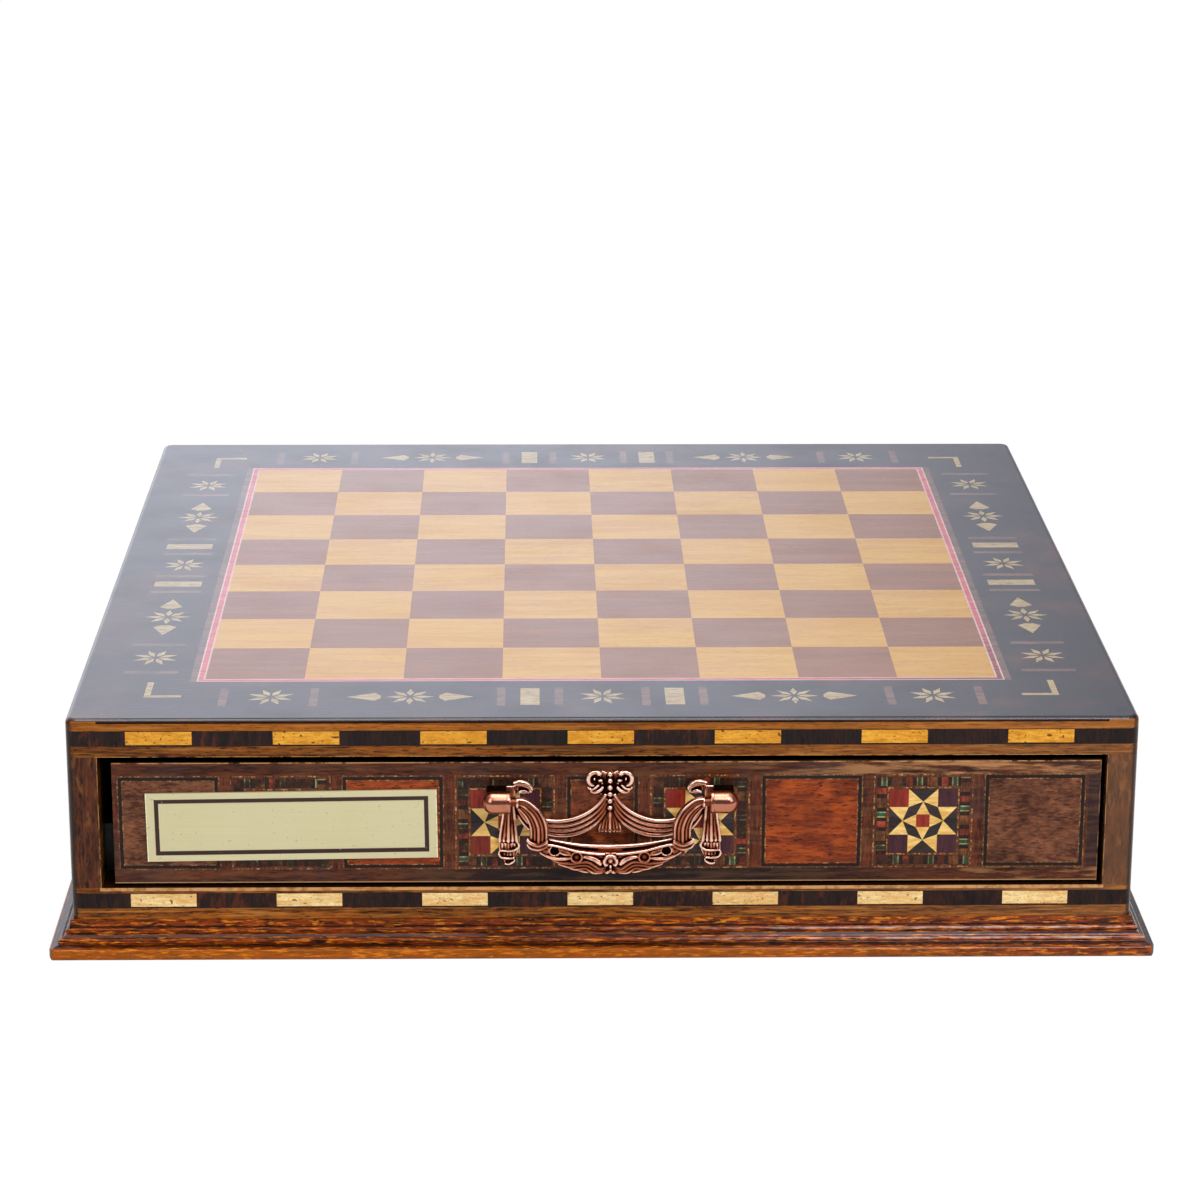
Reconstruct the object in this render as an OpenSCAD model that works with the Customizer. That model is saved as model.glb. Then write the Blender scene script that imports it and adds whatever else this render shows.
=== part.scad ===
// Chess box with two drawers: a walnut case under an inlaid board, on a moulded plinth.
// The origin is the centre of the footprint, on the surface that the plinth stands on.
// +X is to the right of someone facing the front drawer, +Y is to the back, +Z is up.

/* [Board] */
// Side of one square
square_size = 36; // [32:0.5:42]
// Squares along each side
squares = 8; // [8:1:8]
// Width of the border at the left and the right
side_border = 43; // [40:0.5:52]
// Width of the border at the front and the rear
front_border = 42; // [40:0.5:52]
// Thickness of the veneer on the board and the drawers
veneer = 0.8; // [0.5:0.1:1.2]
// Width of each cream line round the field
cream_line = 0.6; // [0.4:0.1:1]
// Width of the rose line between them
rose_line = 1.8; // [1:0.1:3]
// Width of the brown strip beside the field
brown_strip = 2.5; // [1.5:0.1:3]

/* [Case] */
// Height of the opening for the drawers
opening_height = 49.5; // [46:0.5:60]
// Thickness of the top board with its veneer
top_thickness = 14; // [12:0.5:18]
// Thickness of the bottom board
bottom_thickness = 12; // [11:0.5:16]
// Thickness of each side panel
side_thickness = 11; // [9:0.5:16]
// Thickness of the divider between the drawers
divider_thickness = 10; // [6:0.5:16]
// Radius of the upright corners
corner_radius = 4; // [3:0.5:8]
// Radius of the worn edge round the top
top_edge_radius = 2; // [1:0.25:3]

/* [Plinth] */
// Height of the plinth moulding
plinth_height = 13; // [12:0.5:20]
// How far the moulding stands out past the case
plinth_projection = 8; // [7:0.5:14]
// Width of the moulding under the case
plinth_seat = 24; // [18:1:40]
// Radius of each plinth screw's shank
plinth_screw_radius = 1.75; // [1.25:0.25:2.5]
// Thickness of the baize under the case
baize_thickness = 1; // [0.5:0.25:2]

/* [Edge banding] */
// Height of the dark inlaid band round each board
band_height = 5.8; // [4.5:0.1:7]
// Depth of the band in the edge
band_depth = 1.5; // [1:0.1:2.5]
// Wood left above the upper band and below the lower one
band_margin = 4.2; // [3:0.1:5]
// Length of each light bar
bar_length = 23.4; // [15:0.1:35]
// Height of each light bar
bar_height = 4.9; // [3:0.1:5.5]
// Dark wood beyond the last bar of a run
bar_end = 22.3; // [14:0.1:30]
// Light bars in each run
bar_count = 7; // [3:2:7]
// How far the bars sit off centre
bar_shift = -1; // [-4:0.5:4]

/* [Border ornament] */
// Distance of the ornament's centreline from the lines round the field
ornament_inset = 17.5; // [15:0.5:22]
// Radius of a single star, and of a star between arrows
star_radius = 8.7; // [6:0.1:9]
// Half the width of a star's petal
petal_half = 1.3; // [0.8:0.1:1.6]
// Place of a single star, as a share of the way from the border's middle to its corner
star_share = 0.723; // [0.7:0.001:0.74]
// Place of an arrowed star, as the same share
group_share = 0.4195; // [0.41:0.0005:0.43]
// Place of a light bar, as the same share
border_bar_share = 0.158; // [0.15:0.001:0.165]
// Distance of the tips of the arrows from their star's centre
arrow_tip = 22.7; // [20:0.5:24]
// Distance of the tails of the arrows from their star's centre
arrow_tail = 10.5; // [10:0.1:11.5]
// Half the width of an arrow
arrow_half = 4.4; // [3:0.1:6]
// Width of a light bar in the border
border_bar_width = 6.9; // [4:0.1:8]
// Length of a light bar in the border
border_bar_length = 18.5; // [12:0.5:22]
// Length of a corner bracket's arm along the width
bracket_arm_x = 13.4; // [10:0.1:16]
// Length of a corner bracket's arm along the depth
bracket_arm_y = 17; // [10:0.1:18]
// Width of a corner bracket
bracket_width = 2.3; // [1.5:0.1:3]
// Width of a faint brown strip in the border
tie_width = 3; // [2:0.1:3.4]
// Length of a faint brown strip in the border
tie_length = 20; // [14:0.5:22]

/* [Drawers] */
// Gap over a drawer's front
gap_top = 2.7; // [1:0.1:4]
// Gap under a drawer's front
gap_bottom = 1.3; // [0.5:0.1:3]
// Gap at the left end of a drawer's front, seen from outside
gap_left = 4.8; // [1:0.1:6]
// Gap at the right end of a drawer's front, seen from outside
gap_right = 1.9; // [1:0.1:6]
// How far a closed drawer's front lies behind the case's edge
drawer_recess = 1.5; // [0.5:0.1:4]
// Thickness of a drawer's front with its veneer
front_thickness = 12; // [10:0.5:16]
// Thickness of a drawer's sides and back
board_thickness = 8; // [6:0.5:10]
// Clearance over a drawer's sides
side_headroom = 5.2; // [3:0.1:10]
// Thickness of a drawer's bottom
drawer_bottom = 4; // [3:0.5:6]
// Height of a drawer's bottom over the lower edge of its sides
bottom_rise = 4; // [3:0.5:8]
// Thickness of the velvet on a drawer's bottom
velvet = 1.5; // [0.8:0.1:3]
// How far the drawer front reaches past each side of its box
front_lip = 5.5; // [4:0.5:8]
// Clearance where a drawer runs on the bottom board
running_clearance = 0.3; // [0.2:0.05:0.6]
// Clearance between a drawer's box and its guides
guide_clearance = 0.5; // [0.3:0.1:1]
// Height of the guides beside a drawer
guide_height = 18; // [10:1:30]

/* [Drawer marquetry] */
// Wood above and below a star panel
rail = 4.95; // [4:0.05:7]
// Wood between the last panel and the end of the front
end_stile = 3.45; // [3:0.05:8]
// Outer width of the plain panel in the middle
middle_panel = 26; // [20:0.1:40]
// Wood between two panels
panel_gap = 3.9; // [3:0.1:5]
// Width of a light line
light_line = 0.5; // [0.3:0.1:0.8]
// Width of a black line
black_line = 1.2; // [0.8:0.1:1.6]
// Wood between a light line and the black one inside it
line_gap = 0.6; // [0.4:0.1:1]
// Width of a mosaic band
mosaic_width = 3.3; // [2:0.1:3.6]
// Strip between a star's square and the edge of its panel
star_margin = 5.7; // [5:0.1:7]
// How far the panels sit off the middle of the drawer's front
pattern_shift = -1.7; // [-3:0.1:3]

/* [Handle] */
// Distance between the middles of the two posts
post_spacing = 80.4; // [76:0.2:84]
// Height of the bail's axis over the middle of the drawer's front
bail_rise = 11.85; // [11:0.05:13]
// How far the bail's axis stands out from the drawer's face
bail_reach = 12; // [11:0.1:14]
// How far the handle sits off the middle of the drawer's front
handle_shift = 0.9; // [-3:0.1:3]
// Radius of a post's knuckle
knuckle_radius = 4.1; // [3.5:0.1:5]
// Length of a knuckle with its domed end
knuckle_length = 10; // [9:0.5:12]
// Side of a post's square root
root_side = 5.6; // [4:0.1:7]
// Radius of the bail's pins
pin_radius = 1.5; // [1:0.1:1.8]
// Clearance round a pin in its knuckle
pin_clearance = 0.08; // [0.02:0.01:0.1]
// Thickness of the bail from front to back
bail_thickness = 4; // [3:0.1:6]
// Depth of the bail's grip below its axis
bail_drop = 26.8; // [24:0.1:29]
// Height of the grip at its middle
grip_height = 8; // [5:0.5:9]
// Thickness of the handle's plate
plate_thickness = 1.4; // [1:0.1:2]
// How far the folds stand out from the plate
fold_relief = 1.2; // [0.6:0.1:1.6]
// Radius of each handle screw's shank
handle_screw_radius = 1.7; // [1.2:0.1:2]

/* [Nameplate] */
// Width of the nameplate
nameplate_width = 103.3; // [80:0.1:110]
// Height of the nameplate
nameplate_height = 25.7; // [20:0.1:30]
// Thickness of the nameplate
nameplate_thickness = 0.8; // [0.5:0.1:1.5]
// Distance of the nameplate's left end from the end of the drawer's front
nameplate_inset = 11.8; // [6:0.1:14]
// Height of the nameplate's middle over the middle of the drawer's front
nameplate_rise = -0.8; // [-3:0.1:3]
// Tilt of the nameplate, in degrees
nameplate_tilt = 0.7; // [-2:0.1:2]
// Width of the line sunk round the nameplate's edge
nameplate_line = 1.3; // [0.8:0.1:2]
// Distance of that line from the edge
nameplate_line_inset = 2.8; // [2:0.1:4]

/* [Hidden] */
$fn = 64;
eps = 0.01;

// Colours
walnut = "#6e3c1e";
dark_walnut = "#4a2418";
ebony = "#2a2022";
maple = "#e0b870";
amber = "#eba83c";
rose = "#c0606e";
brick = "#82241e";
copper = "#c86e50";
steel = "#b4b4b8";
gold = "#d7cfa0";
velvet_green = "#24482f";

// The playing field and its lines, as half widths
field_half = square_size * squares / 2;
rose_inner = field_half + cream_line;
rose_outer = rose_inner + rose_line;
field_edge = rose_outer + cream_line;

// Sizes, levels and places of the case
half_w = field_edge + side_border;
half_d = field_edge + front_border;
case_width = 2 * half_w;
case_depth = 2 * half_d;
bottom_top = plinth_height + bottom_thickness;
top_underside = bottom_top + opening_height;
total_height = top_underside + top_thickness;
opening_half = half_w - side_thickness;
veneer_base = total_height - veneer;
upper_band_z = total_height - band_margin - band_height;
lower_band_z = plinth_height + band_margin;
bar_top_margin = 0.3;

// The drawers, seen with the front one at -Y
front_width = case_width - 2 * side_thickness - gap_left - gap_right;
front_height = opening_height - gap_top - gap_bottom;
front_middle_x = (gap_left - gap_right) / 2;
front_base_z = bottom_top + gap_bottom;
front_middle_z = front_base_z + front_height / 2;
face_y = -half_d + drawer_recess;
front_back_y = face_y + front_thickness;
core_y = face_y + veneer;
box_width = front_width - 2 * front_lip;
box_rear_y = -divider_thickness / 2 - guide_clearance;
side_base_z = bottom_top + running_clearance;
drawer_side_height = opening_height - running_clearance - side_headroom;
drawer_bottom_z = side_base_z + bottom_rise;
groove_depth = board_thickness / 2;
housing_wall = 5;
side_joint = front_thickness - veneer - housing_wall;
guide_setback = 4;
fingers = 5;
velvet_clearance = 0.3;

// The handle
handle_x = front_middle_x + handle_shift;
bail_axis_height = front_middle_z + bail_rise;
knuckle_inner = post_spacing / 2 - knuckle_length / 2;
pin_depth = 4.7;
pin_end_gap = 0.8;
arm_gap = 2.5;
arm_start = knuckle_inner - arm_gap;
screw_bore_depth = 7;
screw_clearance = 0.3;
screw_end_gap = 0.6;
screw_head_share = 2.2;
screw_head_height = 2.4;
root_length = bail_reach - plate_thickness;

// ---------------------------------------------------------------- shared shapes

// A rectangle with round corners, centred on the origin
module rounded_outline(width, depth, radius) {
    square([width - 2 * radius, depth], center = true);
    square([width, depth - 2 * radius], center = true);
    for (sx = [-1, 1], sy = [-1, 1])
        translate([sx * (width / 2 - radius), sy * (depth / 2 - radius)]) circle(radius);
}

// The case's outline as a slab between two levels
module case_slab(low, high) {
    translate([0, 0, low]) linear_extrude(high - low)
        rounded_outline(case_width, case_depth, corner_radius);
}

// What a round edge of radius r takes off a square corner at the origin, with the wood at -X, -Y
module edge_waste(r) {
    difference() {
        translate([-r, -r]) square(r + 1);
        translate([-r, -r]) circle(r);
    }
}

// Takes the worn edge off the top, all round
module top_edge_waste() {
    run_x = case_width - 2 * corner_radius + eps;
    run_y = case_depth - 2 * corner_radius + eps;
    for (turn = [0, 180]) rotate(turn) {
        translate([half_w, run_y / 2, total_height]) rotate([90, 0, 0])
            linear_extrude(run_y) edge_waste(top_edge_radius);
        translate([-run_x / 2, half_d, total_height]) rotate([90, 0, 90])
            linear_extrude(run_x) edge_waste(top_edge_radius);
    }
    for (sx = [-1, 1], sy = [-1, 1])
        translate([sx * (half_w - corner_radius), sy * (half_d - corner_radius), total_height])
            rotate([0, 0, (sx > 0 ? (sy > 0 ? 0 : 270) : (sy > 0 ? 90 : 180))])
                rotate_extrude(angle = 90) intersection() {
                    translate([corner_radius, 0]) edge_waste(top_edge_radius);
                    translate([0, -corner_radius]) square(2 * corner_radius + 1);
                }
}

// A rectangular ring, from its outer half sizes and its width
module frame_outline(half_x, half_y, width) {
    difference() {
        square([2 * half_x, 2 * half_y], center = true);
        square([2 * (half_x - width), 2 * (half_y - width)], center = true);
    }
}

// ---------------------------------------------------------------- edge banding

// Middles of the light bars along a run of a given length
function bar_places(run) = [
    for (i = [0 : bar_count - 1])
        (i / (bar_count - 1) - 0.5) * (run - 2 * bar_end - bar_length) + bar_shift
];

// The groove round a board, or the whole band that fills it
module band_ring(z) {
    translate([0, 0, z]) linear_extrude(band_height) difference() {
        rounded_outline(case_width, case_depth, corner_radius);
        square([case_width - 2 * band_depth, case_depth - 2 * band_depth], center = true);
    }
}

// The light bars of one band: four runs round the case; as a cutter they reach past both faces of the band
module band_bars(z, overshoot = 0) {
    low = z + band_height - bar_top_margin - bar_height;
    depth = band_depth + 2 * overshoot;
    for (turn = [0, 180]) rotate(turn) {
        for (x = bar_places(case_width))
            translate([x - bar_length / 2, -half_d - overshoot, low]) cube([bar_length, depth, bar_height]);
        for (y = bar_places(case_depth))
            translate([-half_w - overshoot, y - bar_length / 2, low]) cube([depth, bar_length, bar_height]);
    }
}

// The dark band, in two long runs and two short ones that butt against them
module dark_band(z) {
    run = case_depth - 2 * corner_radius;
    difference() {
        band_ring(z);
        band_bars(z, eps);
        for (sy = [-1, 1]) translate([-half_w - 1, sy * (run / 2) - eps, z - 1])
            cube([case_width + 2, 2 * eps, band_height + 2]);
    }
}

module edge_bands() {
    color(ebony) {
        dark_band(upper_band_z);
        dark_band(lower_band_z);
    }
}

module upper_bars() {
    color(amber) band_bars(upper_band_z);
}

module lower_bars() {
    color(maple) band_bars(lower_band_z);
}

// ---------------------------------------------------------------- case

module top_board() {
    color(walnut) difference() {
        case_slab(top_underside, veneer_base);
        band_ring(upper_band_z);
        top_edge_waste();
    }
}

module bottom_board() {
    color(walnut) difference() {
        case_slab(plinth_height, bottom_top);
        band_ring(lower_band_z);
        plinth_screw_places() translate([0, 0, plinth_height - 1])
            cylinder(h = plinth_screw_grip + 1, r = plinth_screw_radius + eps);
    }
}

// A side panel, with its outer corners rounded like the boards'
module side_panel(side) {
    intersection() {
        case_slab(bottom_top, top_underside);
        translate([side > 0 ? opening_half : -half_w, -half_d, bottom_top])
            cube([side_thickness, case_depth, opening_height]);
    }
}

module left_side_panel() {
    color(walnut) side_panel(-1);
}

module right_side_panel() {
    color(walnut) side_panel(1);
}

module centre_divider() {
    color(walnut) translate([-opening_half, -divider_thickness / 2, bottom_top])
        cube([2 * opening_half, divider_thickness, opening_height]);
}

// The guides of the drawer at -Y: one strip on each side panel, up to the drawer's box
module guide_pair() {
    length = half_d - front_thickness - drawer_recess - divider_thickness / 2 - guide_setback;
    box_left = front_middle_x - box_width / 2 - guide_clearance;
    box_right = front_middle_x + box_width / 2 + guide_clearance;
    translate([-opening_half, -divider_thickness / 2 - length, bottom_top])
        cube([box_left + opening_half, length, guide_height]);
    translate([box_right, -divider_thickness / 2 - length, bottom_top])
        cube([opening_half - box_right, length, guide_height]);
}

module drawer_guides() {
    color(maple) for (turn = [0, 180]) rotate(turn) guide_pair();
}

// ---------------------------------------------------------------- plinth

plinth_half_w = half_w + plinth_projection;
plinth_half_d = half_d + plinth_projection;
plinth_screw_cover = 3;
plinth_screw_grip = bottom_thickness - plinth_screw_cover;
plinth_screw_gap = 0.2;
plinth_head_radius = 2 * plinth_screw_radius;
plinth_head_height = 2.4;
plinth_head_gap = 0.3;
plinth_counterbore = 4;
baize_gap = 0.5;

// Profile of the moulding: x is how far out from the case, y the height
module plinth_profile() {
    step = plinth_projection / 8;
    nose = plinth_height / 3;
    nose_top = step * 1.1;
    nose_bottom = step * 1.8;
    polygon([
        [-plinth_seat, 0], [-plinth_seat, plinth_height], [0.5 * step, plinth_height],
        [0.8 * step, 0.8 * plinth_height], [2 * step, 0.62 * plinth_height],
        [3 * step, 0.56 * plinth_height], [4.6 * step, 0.4 * plinth_height],
        [plinth_projection - nose_top, nose], [plinth_projection - nose_bottom, 0]
    ]);
    translate([1.2 * step, 0.69 * plinth_height]) circle(1.1 * step);
    translate([3.7 * step, 0.46 * plinth_height]) circle(1.05 * step);
    translate([plinth_projection - nose_top, nose - nose_top]) circle(nose_top);
    translate([plinth_projection - nose_bottom, nose_bottom]) circle(nose_bottom);
    translate([plinth_projection / 2, nose_bottom])
        square([plinth_projection / 2, nose - nose_top - nose_bottom]);
}

// Middles of the plinth screws: two to each length
module plinth_screw_places() {
    inset = plinth_seat / 2;
    for (s = [-1, 1], t = [-1, 1]) {
        translate([s * half_w / 2, t * (half_d - inset), 0]) children();
        translate([s * (half_w - inset), t * half_d / 2, 0]) children();
    }
}

// One length of moulding along X at the -Y side, mitred at both ends and bored for its screws
module plinth_length(long_half, short_half) {
    seat_half = long_half - plinth_projection - plinth_seat;
    short_seat = short_half - plinth_projection - plinth_seat;
    intersection() {
        translate([-long_half, -(short_half - plinth_projection), 0]) rotate([90, 0, 90])
            linear_extrude(2 * long_half) mirror([1, 0]) plinth_profile();
        linear_extrude(plinth_height) intersection() {
            rounded_outline(2 * long_half, 2 * short_half, corner_radius);
            polygon([
                [-long_half, -short_half], [long_half, -short_half],
                [seat_half, -short_seat], [-seat_half, -short_seat]
            ]);
        }
    }
}

module plinth_bores() {
    plinth_screw_places() {
        translate([0, 0, -1]) cylinder(h = plinth_height + 2, r = plinth_screw_radius + plinth_screw_gap);
        translate([0, 0, -1]) cylinder(h = plinth_counterbore + 1, r = plinth_head_radius + plinth_head_gap);
    }
}

module plinth_front() {
    color(walnut) difference() {
        plinth_length(plinth_half_w, plinth_half_d);
        plinth_bores();
    }
}

module plinth_rear() {
    color(walnut) difference() {
        rotate(180) plinth_length(plinth_half_w, plinth_half_d);
        plinth_bores();
    }
}

module plinth_left() {
    color(walnut) difference() {
        rotate(-90) plinth_length(plinth_half_d, plinth_half_w);
        plinth_bores();
    }
}

module plinth_right() {
    color(walnut) difference() {
        rotate(90) plinth_length(plinth_half_d, plinth_half_w);
        plinth_bores();
    }
}

module plinth_screws() {
    color(steel) plinth_screw_places() {
        translate([0, 0, plinth_counterbore - plinth_head_height])
            cylinder(h = plinth_head_height, r = plinth_head_radius);
        translate([0, 0, plinth_counterbore - eps])
            cylinder(h = plinth_height + plinth_screw_grip - 1 - plinth_counterbore, r = plinth_screw_radius);
    }
}

module base_baize() {
    margin = 2 * (plinth_seat + baize_gap);
    color(velvet_green) translate([0, 0, plinth_height - baize_thickness]) linear_extrude(baize_thickness)
        square([case_width - margin, case_depth - margin], center = true);
}

// ---------------------------------------------------------------- playing field

// A flat shape let into the top: as thick as the veneer
module in_veneer() {
    translate([0, 0, veneer_base]) linear_extrude(veneer) children();
}

// The squares of one colour; the corner square at the front left is dark
module field_squares(parity) {
    for (column = [0 : squares - 1], row = [0 : squares - 1]) if ((column + row) % 2 == parity)
        translate([column * square_size - field_half, row * square_size - field_half])
            square(square_size);
}

module light_squares() {
    color(maple) in_veneer() field_squares(1);
}

module dark_squares() {
    color(walnut) in_veneer() field_squares(0);
}

module cream_lines() {
    color("#e8dcc8") in_veneer() {
        frame_outline(rose_inner, rose_inner, cream_line);
        frame_outline(field_edge, field_edge, cream_line);
    }
}

module rose_line_inlay() {
    color(rose) in_veneer() frame_outline(rose_outer, rose_outer, rose_line);
}

// ---------------------------------------------------------------- border ornament

ornament_line = field_edge + ornament_inset;
star_offset = star_share * ornament_line;
group_offset = group_share * ornament_line;
border_bar_offset = border_bar_share * ornament_line;
petal_start = 1.2;
arrow_tail_half = 1.5;
arrow_barb = 2.2;
star_tie_inner = 15.5;
star_tie_outer = 17;
bar_tie_gap = 5.4;

// Copies the ornament of the -Y border to all four
module round_border() {
    for (turn = [0 : 90 : 270]) rotate(turn) translate([0, -ornament_line]) children();
}

// A star of eight petals
module star_petals() {
    for (turn = [0 : 45 : 315]) rotate(turn) polygon([
        [petal_start, 0], [star_radius / 2, petal_half], [star_radius, 0], [star_radius / 2, -petal_half]
    ]);
}

module star_shapes() {
    round_border() {
        rotate(22.5) star_petals();
        for (s = [-1, 1]) {
            translate([s * star_offset, 0]) rotate(22.5) star_petals();
            translate([s * group_offset, 0]) star_petals();
        }
    }
}

// Two arrows on each side of a star, pointing away from it
module arrow_shapes() {
    barb = arrow_tail + arrow_barb;
    round_border() for (s = [-1, 1], turn = [0, 180]) translate([s * group_offset, 0]) rotate(turn)
        polygon([
            [arrow_tail, arrow_tail_half], [barb, arrow_half], [arrow_tip, 0],
            [barb, -arrow_half], [arrow_tail, -arrow_tail_half]
        ]);
}

module bar_shapes() {
    round_border() for (s = [-1, 1]) translate([s * border_bar_offset, 0])
        square([border_bar_width, border_bar_length], center = true);
}

module bracket_shapes() {
    for (sx = [-1, 1], sy = [-1, 1]) {
        corner_x = sx * ornament_line;
        corner_y = sy * ornament_line;
        end_x = corner_x - sx * bracket_arm_x;
        end_y = corner_y - sy * bracket_arm_y;
        inner_x = corner_x - sx * bracket_width;
        inner_y = corner_y - sy * bracket_width;
        polygon([
            [corner_x, corner_y], [end_x, corner_y], [end_x, inner_y],
            [inner_x, inner_y], [inner_x, end_y], [corner_x, end_y]
        ]);
    }
}

// The faint brown strips beside the stars and bars, and along the two sides of the field
module tie_shapes() {
    near_bar = border_bar_width / 2 + bar_tie_gap + tie_width / 2;
    places = [
        star_offset - star_tie_inner, star_offset + star_tie_outer,
        border_bar_offset - near_bar, border_bar_offset + near_bar
    ];
    round_border() for (s = [-1, 1], x = places)
        translate([s * x, 0]) square([tie_width, tie_length], center = true);
    for (s = [-1, 1]) translate([s * (field_edge + brown_strip / 2), 0])
        square([brown_strip, 2 * field_edge], center = true);
}

module border_stars() {
    color(maple) in_veneer() star_shapes();
}

module border_arrows() {
    color(maple) in_veneer() arrow_shapes();
}

module border_bars() {
    color(maple) in_veneer() bar_shapes();
}

module corner_brackets() {
    color(maple) in_veneer() bracket_shapes();
}

module border_ties() {
    color(dark_walnut) in_veneer() tie_shapes();
}

module border_veneer() {
    color(ebony) difference() {
        in_veneer() difference() {
            rounded_outline(case_width, case_depth, corner_radius);
            square(2 * field_edge, center = true);
            star_shapes();
            arrow_shapes();
            bar_shapes();
            bracket_shapes();
            tie_shapes();
        }
        top_edge_waste();
    }
}

// ---------------------------------------------------------------- drawer boxes

// The drawer's front without its veneer: grooved for the bottom, housed for the sides, bored for the handle
module drawer_front_core() {
    difference() {
        translate([front_middle_x - front_width / 2, core_y, front_base_z])
            cube([front_width, front_thickness - veneer, front_height]);
        drawer_side_blanks();
        drawer_bottom_blank();
        handle_screw_bores(screw_clearance);
    }
}

// The two sides as plain boards, housed in the back of the front
module drawer_side_blanks() {
    for (s = [-1, 1])
        translate([front_middle_x + s * (box_width - board_thickness) / 2 - board_thickness / 2,
                   front_back_y - side_joint, side_base_z])
            cube([board_thickness, box_rear_y - front_back_y + side_joint, drawer_side_height]);
}

module drawer_bottom_blank() {
    width = box_width - 2 * board_thickness + 2 * groove_depth;
    start = front_back_y - groove_depth;
    translate([front_middle_x - width / 2, start, drawer_bottom_z])
        cube([width, box_rear_y - board_thickness + groove_depth - start, drawer_bottom]);
}

// The tongues of the back that lock through the sides: the second and fourth of five equal fingers
module back_tongues() {
    finger = drawer_side_height / fingers;
    for (i = [1 : 2 : fingers - 2])
        translate([front_middle_x - box_width / 2, box_rear_y - board_thickness, side_base_z + i * finger])
            cube([box_width, board_thickness, finger]);
}

module drawer_sides() {
    difference() {
        drawer_side_blanks();
        drawer_bottom_blank();
        back_tongues();
    }
}

module drawer_back() {
    width = box_width - 2 * board_thickness;
    difference() {
        union() {
            translate([front_middle_x - width / 2, box_rear_y - board_thickness, side_base_z])
                cube([width, board_thickness, drawer_side_height]);
            back_tongues();
        }
        drawer_bottom_blank();
    }
}

// The velvet lies on the bottom, between the sides, the front and the back
module drawer_velvet() {
    width = box_width - 2 * board_thickness - 2 * velvet_clearance;
    length = box_rear_y - board_thickness - front_back_y - 2 * velvet_clearance;
    translate([front_middle_x - width / 2, front_back_y + velvet_clearance, drawer_bottom_z + drawer_bottom])
        cube([width, length, velvet]);
}

// ---------------------------------------------------------------- drawer marquetry

// Sizes of the panels: the star panels fill the height between the rails, and the plain ones share the rest
plain_trim = 0.1;
star_panel = front_height - 2 * rail;
star_square = star_panel - 2 * star_margin;
plain_height = star_panel - 2 * plain_trim;
plain_panel = (front_width - 2 * end_stile - middle_panel - 4 * star_panel - 8 * panel_gap) / 4;

// Middles of the star panels and of the plain ones, from the middle of the pattern outwards
inner_star = middle_panel / 2 + panel_gap + star_panel / 2;
inner_plain = inner_star + star_panel / 2 + panel_gap + plain_panel / 2;
outer_star = inner_plain + plain_panel / 2 + panel_gap + star_panel / 2;
outer_plain = outer_star + star_panel / 2 + panel_gap + plain_panel / 2;
star_shares = [-outer_star, -inner_star, inner_star, outer_star];
plain_places = [-outer_plain, -inner_plain, 0, inner_plain, outer_plain];

// The mosaic band lies about midway between the star and the light line
mosaic_shift = 0.2;
star_line_gap = 0.3;
mosaic_half = (star_panel / 2 - light_line + star_square / 2 + mosaic_width) / 2 + mosaic_shift;
star_line_half = star_square / 2 + light_line + star_line_gap;

function plain_width(x) = x == 0 ? middle_panel : plain_panel;

// A flat shape, drawn in the drawer's face with x along the width and y up, let into its veneer
module in_face() {
    difference() {
        translate([front_middle_x + pattern_shift, core_y, front_middle_z]) rotate([90, 0, 0])
            linear_extrude(veneer) children();
        handle_screw_bores(screw_clearance);
    }
}

module at_stars() {
    for (x = star_shares) translate([x, 0]) children();
}

module panel_shapes() {
    inset = light_line + line_gap + black_line;
    for (x = plain_places) translate([x, 0])
        square([plain_width(x) - 2 * inset, plain_height - 2 * inset], center = true);
}

module black_line_shapes() {
    inset = light_line + line_gap;
    for (x = plain_places) translate([x, 0])
        frame_outline(plain_width(x) / 2 - inset, plain_height / 2 - inset, black_line);
}

module light_line_shapes() {
    for (x = plain_places) translate([x, 0])
        frame_outline(plain_width(x) / 2, plain_height / 2, light_line);
    at_stars() {
        frame_outline(star_panel / 2, star_panel / 2, light_line);
        frame_outline(star_line_half, star_line_half, light_line);
    }
}

module mosaic_shapes() {
    at_stars() frame_outline(mosaic_half, mosaic_half, mosaic_width);
}

// The star's net, as shares of its square: corner squares, points of the star, and the middle square
net_corner = 0.5 - 0.284;
net_point = 0.3;
net_core = 0.1;

// Copies a shape of the net to all four quarters, at the star's real size
module net_quarters() {
    for (turn = [0 : 90 : 270]) rotate(turn) children();
}

// A polygon of the net, from shares of the star's square
module net_polygon(points) {
    polygon([for (p = points) star_square * p]);
}

// The cream points: two at each corner square and one on each side of the middle square
module star_light_shapes() {
    at_stars() net_quarters() {
        net_polygon([[-net_corner, 0.5], [0, net_point], [-net_corner, net_corner]]);
        net_polygon([[net_corner, 0.5], [net_corner, net_corner], [0, net_point]]);
        net_polygon([[0, net_point], [net_core, net_core], [-net_core, net_core]]);
    }
}

module star_dark_shapes() {
    at_stars() net_quarters() {
        net_polygon([[0, net_point], [-net_core, net_core], [-net_point, 0], [-net_corner, net_corner]]);
        net_polygon([[-net_corner, 0.5], [net_corner, 0.5], [0, net_point]]);
    }
}

module star_square_shapes() {
    at_stars() {
        net_quarters()
            net_polygon([[0.5, 0.5], [net_corner, 0.5], [net_corner, net_corner], [0.5, net_corner]]);
        square(2 * net_core * star_square, center = true);
    }
}

module face_veneer() {
    difference() {
        translate([front_middle_x - front_width / 2, face_y, front_base_z])
            cube([front_width, veneer, front_height]);
        translate([front_middle_x + pattern_shift, core_y + 1, front_middle_z]) rotate([90, 0, 0])
            linear_extrude(veneer + 2) {
                panel_shapes();
                black_line_shapes();
                light_line_shapes();
                mosaic_shapes();
                at_stars() square(star_square, center = true);
            }
        handle_screw_bores(screw_clearance);
    }
}

// ---------------------------------------------------------------- handle

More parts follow.
